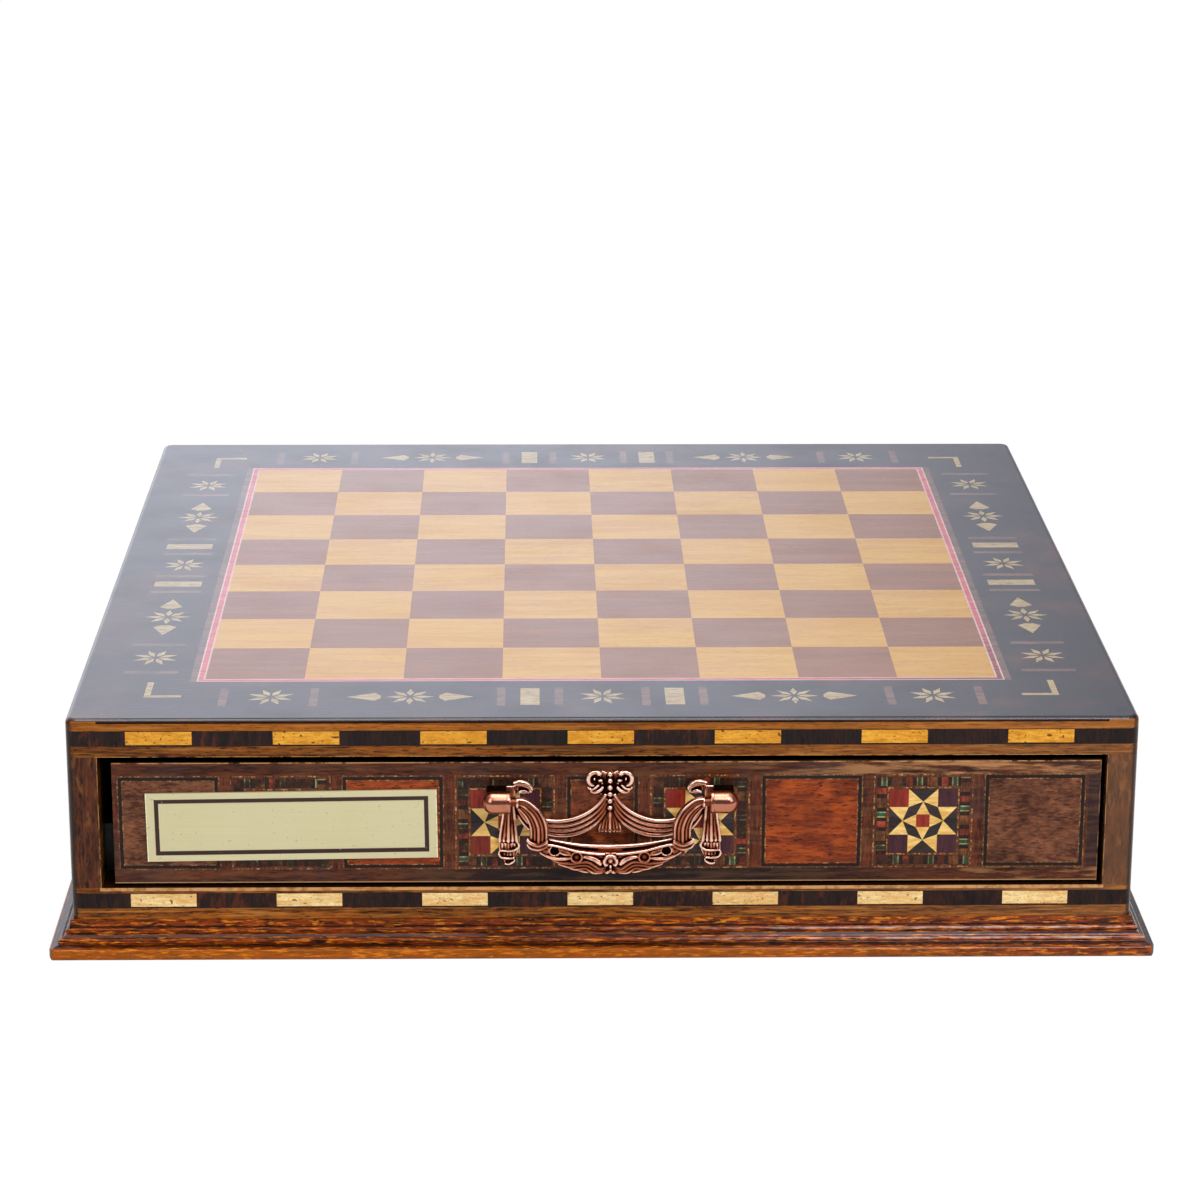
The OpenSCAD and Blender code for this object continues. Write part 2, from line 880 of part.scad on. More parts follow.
// Places its children at the bail's axis, in the middle of the handle: y is out of the drawer, z is up
module at_handle() {
    translate([handle_x, face_y, bail_axis_height]) children();
}

// Draws a flat shape on the drawer's face round the handle's middle, from one depth to another
module on_face(from, to) {
    at_handle() translate([0, -from, 0]) rotate([90, 0, 0]) linear_extrude(to - from) children();
}

module handle_screw_bores(clearance) {
    at_handle() for (s = [-1, 1]) translate([s * post_spacing / 2, front_thickness + 1, 0]) rotate([90, 0, 0])
        cylinder(h = front_thickness + plate_thickness + screw_bore_depth + 1,
                 r = handle_screw_radius + clearance);
}

// A point of a cubic curve through its two ends, with two handles between
function curve_point(p, t) =
    pow(1 - t, 3) * p[0] + 3 * t * pow(1 - t, 2) * p[1] + 3 * t * t * (1 - t) * p[2] + pow(t, 3) * p[3];

curve_steps = 14;
function curve(p) = [for (i = [0 : curve_steps]) curve_point(p, i / curve_steps)];

// A strip between two curves
module between(upper, lower) {
    low = curve(lower);
    polygon(concat(curve(upper), [for (i = [curve_steps : -1 : 0]) low[i]]));
}

// The ornament is drawn on a grid of an eightieth of the post spacing
grid = post_spacing / 80;

// The drapery's folds hang from the bow to a post; fold 0 is the highest
folds = 4;
fold_width = 1.5 * grid;
drape_end = knuckle_inner - 1.5;
function fold_curve(i) = [
    grid * [1.4 - 0.15 * i, -0.6 - 1.55 * i],
    grid * [6.8 - 0.53 * i, -12 - 2.2 * i],
    grid * [26 + 0.33 * i, -16 - 1.85 * i],
    [drape_end, grid * (-2.2 - 0.67 * i)]
];
function raised(points, rise) = [for (p = points) p + [0, rise]];

// The outline of the drapery's web, for the right half
module drape_web() {
    between(raised(fold_curve(0), fold_width / 2), raised(fold_curve(folds - 1), -fold_width / 2));
}

module drape_folds() {
    for (i = [0 : folds - 1])
        between(raised(fold_curve(i), fold_width / 2), raised(fold_curve(i), -fold_width / 2));
}

bow_loop = [5, 4.2];
bow_loop_radius = 3.4;
bow_top = 6.5;
bow_foot = 2.5;
bow_tail = 0.5;
bow_ribbon = 1.3;
bow_strap = [1.6, 14];
bow_strap_z = 0.6;
tassel_top = -6.5;
tassel_bottom = -15.5;
tassel_top_half = 1.3;
tassel_bottom_half = 3.7;
side_tassel_inset = 8;
ribbon_loop_inset = 4.6;
ribbon_loop_z = 1.8;
ribbon_loop_radius = 2.7;
pad_margin = 1.2;
beads = 6;
bead_top = 7.1;
bead_pitch = 2.54;
bead_radius = 0.75;
bead_rise = 0.8;

// The bow's loop and ribbon ends, for the right half
module bow_outline() {
    translate(bow_loop) circle(bow_loop_radius);
    polygon([[0, bow_top], bow_loop + [0, bow_loop_radius], [bow_loop.x, -bow_tail], [0, -bow_foot]]);
}

// The tassel under the bow, flaring downwards
module middle_tassel(inset) {
    foot = tassel_bottom_half - inset;
    polygon([
        [-tassel_top_half, tassel_top], [tassel_top_half, tassel_top],
        [foot, tassel_bottom + inset], [-foot, tassel_bottom + inset]
    ]);
}

// A tassel beside each post: it hangs from the root and ends in folded steps
module side_tassel() {
    translate([post_spacing / 2 - side_tassel_inset, 0]) polygon(grid * [
        [1.8, -2], [5.2, -2], [7.4, -19.7], [7.6, -24.3], [6.2, -25.5], [5.2, -28.1],
        [2.8, -28.1], [1.7, -25.5], [0, -22], [0, -19.7]
    ]);
}

module ribbon_loop() {
    translate([knuckle_inner - ribbon_loop_inset, ribbon_loop_z]) circle(ribbon_loop_radius);
}

// The plate's outline on the drawer's face
module plate_outline() {
    pad_height = root_side + 2 * pad_margin;
    pad_inner = drape_end - pad_margin;
    pad_outer = post_spacing / 2 + root_side / 2 + pad_margin;
    for (side = [0, 1]) mirror([side, 0]) {
        drape_web();
        bow_outline();
        side_tassel();
        ribbon_loop();
        translate([pad_inner, -pad_height / 2]) square([pad_outer - pad_inner, pad_height]);
    }
    middle_tassel(0);
}

// What stands out from the plate: folds, the bow's loops, the ribbon loops and the tassel
module relief_outline() {
    for (side = [0, 1]) mirror([side, 0]) {
        drape_folds();
        ribbon_loop();
        translate(bow_loop) difference() {
            circle(bow_loop_radius);
            circle(bow_loop_radius - bow_ribbon);
        }
    }
    translate([0, bow_strap_z]) square(bow_strap, center = true);
    middle_tassel(bow_ribbon / 2);
}

module handle_plate() {
    relief_top = plate_thickness + fold_relief;
    difference() {
        union() {
            on_face(0, plate_thickness) plate_outline();
            on_face(plate_thickness, relief_top) relief_outline();
            for (i = [0 : beads - 1])
                on_face(relief_top, relief_top + bead_rise)
                    translate([0, bead_top - bead_pitch * i]) circle(bead_radius);
        }
        handle_screw_bores(screw_clearance);
    }
}

// One post: a square root on the plate, and a bullet-shaped knuckle that takes the bail's pin
module handle_post() {
    straight = knuckle_length - knuckle_radius;
    bore_depth = pin_depth + pin_end_gap;
    difference() {
        union() {
            translate([post_spacing / 2 - root_side / 2, -bail_reach, -root_side / 2])
                cube([root_side, root_length, root_side]);
            translate([knuckle_inner, -bail_reach, 0]) rotate([0, 90, 0])
                cylinder(h = straight, r = knuckle_radius);
            translate([knuckle_inner + straight, -bail_reach, 0]) sphere(knuckle_radius);
        }
        translate([knuckle_inner - 1, -bail_reach, 0]) rotate([0, 90, 0])
            cylinder(h = bore_depth + 1, r = pin_radius + pin_clearance);
    }
}

module handle_posts() {
    difference() {
        at_handle() for (side = [0, 1]) mirror([side, 0, 0]) handle_post();
        handle_screw_bores(0);
    }
}

module handle_screws() {
    reach = front_thickness + plate_thickness + screw_bore_depth - screw_end_gap;
    at_handle() for (s = [-1, 1]) translate([s * post_spacing / 2, front_thickness, 0]) {
        rotate([90, 0, 0]) cylinder(h = reach, r = handle_screw_radius - eps);
        rotate([-90, 0, 0]) cylinder(h = screw_head_height, r = screw_head_share * handle_screw_radius);
    }
}

// The bail's right arm: a horn between two circles, from the pin down to the collar
horn_outer_radius = 11;
horn_inner_radius = 12.3;
horn_outer_shift = 0.8;
horn_outer_drop = 9.6;
horn_inner_shift = 7.8;
horn_inner_drop = 11;
collar_drop = 0.6 * bail_drop;
collar_inset = 7.4;
collar_size = [7.6, bail_thickness + 1, 3.4];
collar_lean = 22;
collar_sag = 0.6;

module horn_outline() {
    intersection() {
        difference() {
            translate([arm_start + horn_outer_shift, -horn_outer_drop]) circle(horn_outer_radius);
            translate([arm_start + horn_inner_shift, -horn_inner_drop]) circle(horn_inner_radius);
        }
        translate([arm_start - horn_outer_radius, -collar_drop]) square([horn_outer_radius, collar_drop + 2]);
    }
}

// The grip: a crescent between two arcs, with a flower's boss at its middle and a hole at each end
grip_inset = 8.4;
grip_half = arm_start - grip_inset;
grip_sag = 7.7;
grip_bottom_radius = (pow(grip_half, 2) + pow(grip_sag, 2)) / (2 * grip_sag);
grip_top_radius = 2.2 * grip_bottom_radius;
hole_radius = 1.6;
hole_inset = 5;
hole_rise = 0.7;
hole_x = grip_half - hole_inset;
hole_z = grip_height - bail_drop + hole_rise;
boss_radius = 3.6;
boss_rise = 1.2;
boss_lift = 1;

module grip_outline() {
    intersection() {
        difference() {
            translate([0, grip_bottom_radius - bail_drop]) circle(grip_bottom_radius);
            translate([0, grip_top_radius - bail_drop + grip_height]) circle(grip_top_radius);
        }
        translate([-grip_half, -bail_drop - 1]) square([2 * grip_half, bail_drop]);
    }
}

// The bail hangs from its two pins
module handle_bail() {
    at_handle() translate([0, -bail_reach, 0]) difference() {
        union() {
            rotate([90, 0, 0]) translate([0, 0, -bail_thickness / 2]) linear_extrude(bail_thickness) {
                grip_outline();
                for (side = [0, 1]) mirror([side, 0]) horn_outline();
            }
            for (side = [0, 1]) mirror([side, 0, 0]) {
                translate([arm_start - 1, 0, 0]) rotate([0, 90, 0])
                    cylinder(h = 1 + arm_gap + pin_depth, r = pin_radius);
                translate([arm_start - collar_inset, 0, -collar_drop - collar_sag]) rotate([0, -collar_lean, 0])
                    cube(collar_size, center = true);
            }
            translate([0, -bail_thickness / 2, grip_height / 2 - bail_drop + boss_lift]) rotate([90, 0, 0])
                cylinder(h = boss_rise, r = boss_radius);
        }
        for (s = [-1, 1]) translate([s * hole_x, 0, hole_z]) rotate([90, 0, 0])
            cylinder(h = bail_thickness + 3, r = hole_radius, center = true);
    }
}

// ---------------------------------------------------------------- nameplate

nameplate_line_depth = 0.15;

module nameplate() {
    line_half_w = nameplate_width / 2 - nameplate_line_inset;
    line_half_h = nameplate_height / 2 - nameplate_line_inset;
    left = front_middle_x - front_width / 2 + nameplate_inset;
    color(gold) translate([left + nameplate_width / 2, face_y, front_middle_z + nameplate_rise])
        rotate([90, -nameplate_tilt, 0]) difference() {
            linear_extrude(nameplate_thickness)
                square([nameplate_width, nameplate_height], center = true);
            translate([0, 0, nameplate_thickness - nameplate_line_depth]) linear_extrude(1)
                frame_outline(line_half_w, line_half_h, nameplate_line);
        }
}

// ---------------------------------------------------------------- the two drawers

// The rear drawer is the front one, turned half round
module at_rear() {
    rotate(180) children();
}

module front_drawer_front() { color(walnut) drawer_front_core(); }
module front_drawer_sides() { color(maple) drawer_sides(); }
module front_drawer_back() { color(maple) drawer_back(); }
module front_drawer_bottom() { color(maple) drawer_bottom_blank(); }
module front_drawer_velvet() { color(velvet_green) drawer_velvet(); }
module front_drawer_veneer() { color(dark_walnut) face_veneer(); }
module front_drawer_panels() { color(walnut) in_face() panel_shapes(); }
module front_drawer_black_lines() { color(ebony) in_face() black_line_shapes(); }
module front_drawer_light_lines() { color(amber) in_face() light_line_shapes(); }
module front_drawer_mosaics() { color("#5a3a28") in_face() mosaic_shapes(); }
module front_drawer_star_light() { color(maple) in_face() star_light_shapes(); }
module front_drawer_star_dark() { color(ebony) in_face() star_dark_shapes(); }
module front_drawer_star_squares() { color(brick) in_face() star_square_shapes(); }
module front_handle_plate() { color(copper) handle_plate(); }
module front_handle_posts() { color(copper) handle_posts(); }
module front_handle_screws() { color(steel) handle_screws(); }
module front_handle_bail() { color(copper) handle_bail(); }

module rear_drawer_front() { at_rear() front_drawer_front(); }
module rear_drawer_sides() { at_rear() front_drawer_sides(); }
module rear_drawer_back() { at_rear() front_drawer_back(); }
module rear_drawer_bottom() { at_rear() front_drawer_bottom(); }
module rear_drawer_velvet() { at_rear() front_drawer_velvet(); }
module rear_drawer_veneer() { at_rear() front_drawer_veneer(); }
module rear_drawer_panels() { at_rear() front_drawer_panels(); }
module rear_drawer_black_lines() { at_rear() front_drawer_black_lines(); }
module rear_drawer_light_lines() { at_rear() front_drawer_light_lines(); }
module rear_drawer_mosaics() { at_rear() front_drawer_mosaics(); }
module rear_drawer_star_light() { at_rear() front_drawer_star_light(); }
module rear_drawer_star_dark() { at_rear() front_drawer_star_dark(); }
module rear_drawer_star_squares() { at_rear() front_drawer_star_squares(); }
module rear_handle_plate() { at_rear() front_handle_plate(); }
module rear_handle_posts() { at_rear() front_handle_posts(); }
module rear_handle_screws() { at_rear() front_handle_screws(); }
module rear_handle_bail() { at_rear() front_handle_bail(); }

top_board();
bottom_board();
left_side_panel();
right_side_panel();
centre_divider();
drawer_guides();
plinth_front();
plinth_rear();
plinth_left();
plinth_right();
plinth_screws();
base_baize();
edge_bands();
upper_bars();
lower_bars();
border_veneer();
light_squares();
dark_squares();
cream_lines();
rose_line_inlay();
border_stars();
border_arrows();
border_bars();
corner_brackets();
border_ties();
front_drawer_front();
front_drawer_sides();
front_drawer_back();
front_drawer_bottom();
front_drawer_velvet();
front_drawer_veneer();
front_drawer_panels();
front_drawer_black_lines();
front_drawer_light_lines();
front_drawer_mosaics();
front_drawer_star_light();
front_drawer_star_dark();
front_drawer_star_squares();
front_handle_plate();
front_handle_posts();
front_handle_screws();
front_handle_bail();
nameplate();
rear_drawer_front();
rear_drawer_sides();
rear_drawer_back();
rear_drawer_bottom();
rear_drawer_velvet();
rear_drawer_veneer();
rear_drawer_panels();
rear_drawer_black_lines();
rear_drawer_light_lines();
rear_drawer_mosaics();
rear_drawer_star_light();
rear_drawer_star_dark();
rear_drawer_star_squares();
rear_handle_plate();
rear_handle_posts();
rear_handle_screws();
rear_handle_bail();
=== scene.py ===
"""Chess box with two drawers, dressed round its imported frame. Lengths are in metres."""

import math

import bpy
import numpy as np
from mathutils import Matrix, Vector, noise


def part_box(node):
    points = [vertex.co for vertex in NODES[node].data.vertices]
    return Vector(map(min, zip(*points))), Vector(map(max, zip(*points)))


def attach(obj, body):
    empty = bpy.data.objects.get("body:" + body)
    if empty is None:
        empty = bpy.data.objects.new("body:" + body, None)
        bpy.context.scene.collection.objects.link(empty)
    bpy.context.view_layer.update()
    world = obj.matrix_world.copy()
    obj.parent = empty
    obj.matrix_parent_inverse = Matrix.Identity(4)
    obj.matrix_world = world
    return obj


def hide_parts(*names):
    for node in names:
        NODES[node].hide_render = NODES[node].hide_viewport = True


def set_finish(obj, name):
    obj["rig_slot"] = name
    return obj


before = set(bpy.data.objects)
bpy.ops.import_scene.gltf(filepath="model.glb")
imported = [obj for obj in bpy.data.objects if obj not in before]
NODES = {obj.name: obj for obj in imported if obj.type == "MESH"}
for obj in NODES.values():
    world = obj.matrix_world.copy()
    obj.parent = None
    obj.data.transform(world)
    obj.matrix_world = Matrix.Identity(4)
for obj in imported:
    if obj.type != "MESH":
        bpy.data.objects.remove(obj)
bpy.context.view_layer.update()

SQUARE = 0.036
CORNER_RADIUS = 0.004
BAND_HEIGHT = 0.0058
# A hair's depth: the wood behind a face starts this far behind it, and the mosaic tiles are sunk by it.
SKIN = 0.00005


def box_middle(node):
    """The middle of a CAD node's box at rest."""
    low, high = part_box(node)
    return (low + high) / 2


CASE_HALF_W, CASE_HALF_D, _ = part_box("top_board")[1]
OPENING_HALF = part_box("right_side_panel")[0].x
OPENING_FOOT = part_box("bottom_board")[1].z
OPENING_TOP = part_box("top_board")[0].z
BAND_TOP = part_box("edge_bands")[1].z
BAND_FOOT = BAND_TOP - BAND_HEIGHT
FACE_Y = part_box("front_drawer_veneer")[0].y
FACE_Z = box_middle("front_drawer_veneer").z
PATTERN_X = box_middle("front_drawer_panels").x


# ------------------------------------------------------------------ camera


def aim(position, yaw, pitch, roll):
    """The matrix of a camera that looks along +Y, turned to the right, down and about its own axis."""
    yaw, pitch, roll = (math.radians(a) for a in (yaw, pitch, roll))
    forward = Vector(
        (math.sin(yaw) * math.cos(pitch), math.cos(yaw) * math.cos(pitch), -math.sin(pitch))
    )
    right = Vector((math.cos(yaw), -math.sin(yaw), 0))
    up = right.cross(forward)
    right, up = (
        right * math.cos(roll) + up * math.sin(roll),
        up * math.cos(roll) - right * math.sin(roll),
    )
    return Matrix.Translation(position) @ Matrix((right, up, -forward)).transposed().to_4x4()


camera = bpy.data.objects.new("camera", bpy.data.cameras.new("camera"))
camera.data.sensor_width = 36
camera.data.lens = 110.56
camera.matrix_world = aim(position=(-0.0260, -1.4172, 0.51504), yaw=1.144, pitch=17.305, roll=0.209)
bpy.context.scene.collection.objects.link(camera)
bpy.context.scene.camera = camera
bpy.context.scene.view_settings.view_transform = "Standard"


# ------------------------------------------------------------------ finishes


class Value:
    """A socket that takes part in sums: each operator adds a Math node."""

    def __init__(self, recipe, socket):
        self.recipe, self.socket = recipe, socket

    def __add__(self, other):
        return self.recipe.math("ADD", self, other)

    def __sub__(self, other):
        return self.recipe.math("SUBTRACT", self, other)

    def __rsub__(self, other):
        return self.recipe.math("SUBTRACT", other, self)

    def __mul__(self, other):
        return self.recipe.math("MULTIPLY", self, other)

    def __gt__(self, other):
        return self.recipe.math("GREATER_THAN", self, other)

    def __lt__(self, other):
        return self.recipe.math("LESS_THAN", self, other)

    def __abs__(self):
        return self.recipe.math("ABSOLUTE", self)

    __radd__, __rmul__ = __add__, __mul__


class Recipe:
    """The nodes of one finish, or of the room."""

    def __init__(self, owner):
        self.owner = owner
        owner.use_nodes = True
        self.tree = owner.node_tree
        self.tree.nodes.clear()

    def add(self, kind, sockets=None, out=0, **settings):
        """Adds a node: its settings first, then the values, #rrggbb colours or links of its sockets."""
        node = self.tree.nodes.new("ShaderNode" + kind)
        for key, value in settings.items():
            setattr(node, key, value)
        for key, value in (sockets or {}).items():
            if isinstance(value, Value):
                self.tree.links.new(value.socket, node.inputs[key])
            else:
                node.inputs[key].default_value = tone(value) if isinstance(value, str) else value
        return Value(self, node.outputs[out]) if node.outputs else None

    def math(self, operation, *terms):
        return self.add("Math", dict(enumerate(terms)), operation=operation)

    def vector(self, operation, *terms):
        return self.add("VectorMath", dict(enumerate(terms)), operation=operation)

    def split(self, vector):
        first = self.add("SeparateXYZ", {0: vector})
        return [Value(self, s) for s in first.socket.node.outputs]

    def mix(self, a, b, factor, how="MIX"):
        """Colour a turned into colour b by a factor."""
        return self.add(
            "Mix", {0: factor, 6: a, 7: b}, 2, data_type="RGBA", blend_type=how, clamp_factor=True
        )

    def smooth(self, value, low, high):
        """0 below low, 1 above high, and a soft step between."""
        return self.add(
            "MapRange", {0: value, 1: low, 2: high, 3: 0.0, 4: 1.0}, interpolation_type="SMOOTHSTEP"
        )

    def noise(self, place, scale=1.0, detail=2.0, rough=0.5, warp=0.0):
        return self.add(
            "TexNoise",
            {"Vector": place, "Scale": scale, "Detail": detail, "Roughness": rough, "Distortion": warp},
        )

    def place(self, turn=1, shift=(0.0, 0.0, 0.0)):
        """The point of the piece; turn -1 looks at it half turned about Z."""
        here = self.add("TexCoord", out="Object")
        return self.vector("MULTIPLY_ADD", here, (turn, turn, 1), shift)

    def along(self, place, axis, stretch, across):
        """A place squeezed so that a pattern runs along one axis, in cycles per metre along and across."""
        scale = [across] * 3
        scale["xyz".index(axis)] = stretch
        return self.vector("MULTIPLY", place, scale)

    def turned_grain(self, place):
        """A place with x and y exchanged on faces that look along x, so that the grain follows them."""
        facing = abs(self.split(self.add("NewGeometry", out="Normal"))[0]) > 0.7
        x, y, z = self.split(place)
        return self.mix(place, self.add("CombineXYZ", {0: y, 1: x, 2: z}), facing)

    def band(self, value, low, high, soft=0.00005):
        """1 between two limits."""
        past_low = self.smooth(value, low - soft, low + soft)
        past_high = self.smooth(value, high - soft, high + soft)
        return past_low * (1 - past_high)

    def broken(self, place, low=0.42, high=0.58, scale=260):
        """Patches like those of a worn line."""
        return self.smooth(self.noise(place, scale, detail=3, rough=0.7), low, high)

    def least(self, *values):
        return self.chain("MINIMUM", values)

    def most(self, *values):
        return self.chain("MAXIMUM", values)

    def chain(self, operation, values):
        result = values[0]
        for value in values[1:]:
            result = self.math(operation, result, value)
        return result

    def bump(self, height, depth, base=None):
        sockets = {"Strength": 1.0, "Distance": depth, "Height": height}
        if base:
            sockets["Normal"] = base
        return self.add("Bump", sockets)

    def surface(self, colour, roughness, normal=None, **fixed):
        """Ends the recipe in a principled surface; what is fixed is written on its own sockets."""
        sockets = {"Base Color": colour, "Roughness": roughness}
        if normal:
            sockets["Normal"] = normal
        sockets.update({key.replace("_", " ").title().replace("Ior", "IOR"): v for key, v in fixed.items()})
        shader = self.add("BsdfPrincipled", sockets)
        self.add("OutputMaterial", {0: shader})
        return self.owner


def tone(code):
    """A colour written as #rrggbb, as the linear values that a shader takes."""
    parts = [int(code[i : i + 2], 16) / 255 for i in (1, 3, 5)]
    return (*(c / 12.92 if c <= 0.04045 else ((c + 0.055) / 1.055) ** 2.4 for c in parts), 1.0)


def recipe(name):
    return Recipe(bpy.data.materials.new(name))


def timber(r, place, axis, dark, light, pore, figure=(18, 200), fibre=(120, 1100), pores=0.6, streak=0.5):
    """Colour and relief of wood whose grain runs along an axis. The figure and the fibre are in cycles
    per metre along the grain and across it."""
    broad = r.noise(r.along(place, axis, *figure), detail=4, rough=0.6, warp=0.6)
    fine = r.noise(r.along(place, axis, *fibre), detail=3, rough=0.6)
    dashes = r.noise(r.along(place, axis, 330, 1700), detail=1)
    share = r.smooth(broad, 0.36, 0.64) * (1 - streak) + r.smooth(fine, 0.36, 0.64) * streak
    dashes = r.smooth(dashes, 0.60, 0.70)
    colour = r.mix(r.mix(dark, light, share), pore, dashes * pores)
    return colour, share - dashes


def varnish(r, colour, relief, place, gloss=0.14, grain=0.00002, flow=0.00003, sheen=0.5, coat=0.0):
    """A clear finish over wood: pores that show through it and a surface that isn't quite flat. The grain
    and the flow are the depths of the pores and of the waves, in metres."""
    skin = r.noise(place, 70, detail=2)
    normal = r.bump(skin, flow, r.bump(relief, grain))
    dull = r.noise(place, 35, detail=3)
    return r.surface(
        colour,
        r.smooth(dull, 0.35, 0.75) * 0.08 + gloss,
        normal,
        specular_ior_level=sheen,
        coat_weight=coat,
        coat_roughness=0.05,
        coat_ior=1.5,
    )


def dress(node, material):
    """Gives a CAD node its finish."""
    slots = NODES[node].data.materials
    slots.clear()
    slots.append(material)


# ------------------------------------------------------------------ room, lamps and floor

room = Recipe(bpy.data.worlds.new("pale studio"))
bpy.context.scene.world = room.owner


def light_room():
    """White to the camera. In reflections: a tall bright panel at the rear left, a dim room in front with a
    high window and a strip at each side, and a pale ceiling. Turns are from the rear to the right, and
    climbs are from the horizon, both in degrees."""
    direction = room.add("TexCoord", out="Generated")
    x, y, z = room.split(direction)
    turn = room.math("ARCTAN2", x, y) * (180 / math.pi)
    climb = room.math("ARCSINE", z) * (180 / math.pi)
    fade = 1 - room.smooth(turn - (climb - 17) * 0.5, 0, 12)
    left_end = room.smooth(turn, -75, -40)
    height = 1.15 - room.smooth(climb, 13.5, 20) * 0.15 - room.smooth(climb, 22, 48) * 0.6
    rear = (fade * left_end * 1.30 + 0.52) * height
    behind = room.smooth(abs(turn), 60, 120)
    glow = rear * (1 - behind) + behind * 0.22
    above = room.smooth(climb, 35, 70)
    glow = glow * (1 - above) + above * 1.3
    window = room.band(turn, 149, 175, 2) * room.band(climb, 43, 70, 3)
    strips = room.band(abs(turn), 118, 150, 4) * room.band(climb, 20, 58, 4)
    glow = glow + window * 10 + strips * 3.5
    path = room.add("LightPath", out="Is Glossy Ray")
    camera_ray = room.add("LightPath", out="Is Camera Ray")
    tint = room.mix((0.5, 0.5, 0.5, 1), "#ecf0ff", path)
    strength = room.math("MAXIMUM", glow * path + (1 - path) * 1.0, camera_ray)
    colour = room.mix(tint, (1, 1, 1, 1), camera_ray)
    shader = room.add("Background", {0: colour, 1: strength})
    room.add("OutputWorld", {0: shader})


light_room()


def soft_lamp(name, place, target, size, power, mirrored_in_gloss=True):
    """A rectangular lamp that faces its target."""
    lamp = bpy.data.lights.new(name, "AREA")
    lamp.shape, lamp.size, lamp.size_y = "RECTANGLE", size[0], size[1]
    lamp.energy = power
    holder = bpy.data.objects.new(name, lamp)
    holder.location = place
    holder.visible_glossy = mirrored_in_gloss
    holder.rotation_mode = "QUATERNION"
    holder.rotation_quaternion = (Vector(target) - Vector(place)).to_track_quat("-Z", "Y")
    bpy.context.scene.collection.objects.link(holder)


soft_lamp("overhead lamp", (-0.2, -0.1, 1.9), (0, 0, 0.05), (1.2, 0.9), 16)
soft_lamp("front lamp", (0.75, -1.7, 1.25), (0, -0.1, 0.04), (0.7, 0.5), 22, mirrored_in_gloss=False)


def lay_floor():
    """A matt floor that takes the shadow, and looks nearly white to the camera."""
    bpy.ops.mesh.primitive_plane_add(size=8, location=(0, 0, 0))
    floor = bpy.context.object
    floor.name = "floor"
    r = recipe("pale floor")
    speck = r.noise(r.place(), 6, detail=3)
    colour = r.mix("#f4f4f4", "#fbfbfb", speck)
    matt = r.add("BsdfDiffuse", {0: colour, 1: 0.5})
    bright = r.add("Emission", {0: (1, 1, 1, 1), 1: 1.03})
    seen = r.add("LightPath", out="Is Camera Ray") * 0.93
    r.add("OutputMaterial", {0: r.add("MixShader", {0: seen, 1: matt, 2: bright})})
    floor.data.materials.append(r.owner)


lay_floor()


# ------------------------------------------------------------------ the board's finishes


def board_square(name, dark, light, pore, spread, pores):
    """One colour of the playing field: each square is its own piece of veneer."""
    r = recipe(name)
    here = r.place()
    cell = r.vector("FLOOR", r.vector("DIVIDE", here, (SQUARE, SQUARE, 1)))
    chance = r.add("TexWhiteNoise", {"Vector": cell}, "Color")
    place = r.vector("ADD", here, chance)
    shade = r.split(chance)[0]
    colour, relief = timber(
        r, place, "x", dark, light, pore, figure=(16, 130), fibre=(90, 900), pores=pores, streak=0.4
    )
    colour = r.mix(colour, spread, shade * 0.4)
    return varnish(r, colour, relief, here, gloss=0.17, grain=0.000006, flow=0.00002)


dress("light_squares", board_square("light square wood", "#b47c14", "#c89a28", "#8c5218", "#c49024", 0.45))
dress("dark_squares", board_square("dark square wood", "#74421a", "#8c5422", "#50301a", "#7c502e", 0.25))


def inlay(name, dark, light, pore, pores=0.5, sheen=0.5, **grain):
    """A thin inlay with its grain along x."""
    r = recipe(name)
    here = r.place()
    colour, relief = timber(r, here, "x", dark, light, pore, pores=pores, **grain)
    return varnish(r, colour, relief, here, gloss=0.17, grain=0.000006, flow=0.00002, sheen=sheen)


def rose_inlay():
    """Rose wood that has gone brown at the front right."""
    r = recipe("rose inlay")
    here = r.place()
    x, y, _ = r.split(here)
    faded = r.smooth(x - y, 0.20, 0.29)
    fresh, relief = timber(r, here, "x", "#a83c46", "#cc666e", "#84303a", pores=0.2)
    worn, _ = timber(r, here, "x", "#4a2024", "#8a3c38", "#2a1412", pores=0.3)
    return varnish(r, r.mix(fresh, worn, faded), relief, here, gloss=0.17)


dress("rose_line_inlay", rose_inlay())
dress("cream_lines", inlay("cream line", "#b8908a", "#d2b0a6", "#8a6060", pores=0.2))
maple = inlay("maple inlay", "#93794c", "#b29f74", "#4a3018", figure=(60, 200), pores=0.6)
for piece in ("border_stars", "border_arrows", "border_bars", "corner_brackets"):
    dress(piece, maple)


def border_wood():
    """Dark stained veneer with brown clouds where the stain is thin, and a worn golden edge."""
    r = recipe("border wood")
    here = r.place()
    colour, relief = timber(
        r, here, "x", "#110c10", "#261817", "#080506", figure=(12, 90), pores=0.5
    )
    cloud = r.noise(here, 24, detail=5, rough=0.65)
    colour = r.mix(colour, "#5c3322", r.smooth(cloud, 0.50, 0.72) * 0.5)
    pits = r.smooth(r.noise(here, 130, detail=0), 0.80, 0.83)
    colour = r.mix(colour, "#020101", pits)
    _, _, level = r.split(r.add("NewGeometry", out="Normal"))
    edge = (level < 0.5) * r.broken(here, 0.40, 0.52)
    colour = r.mix(colour, "#d8953e", edge * 0.9)
    return varnish(r, colour, relief, here, gloss=0.17, grain=0.000008, flow=0.00003)


dress("border_veneer", border_wood())
dress("border_ties", inlay("brown inlay", "#46302a", "#785444", "#241614", figure=(40, 140)))


# ------------------------------------------------------------------ the case's finishes


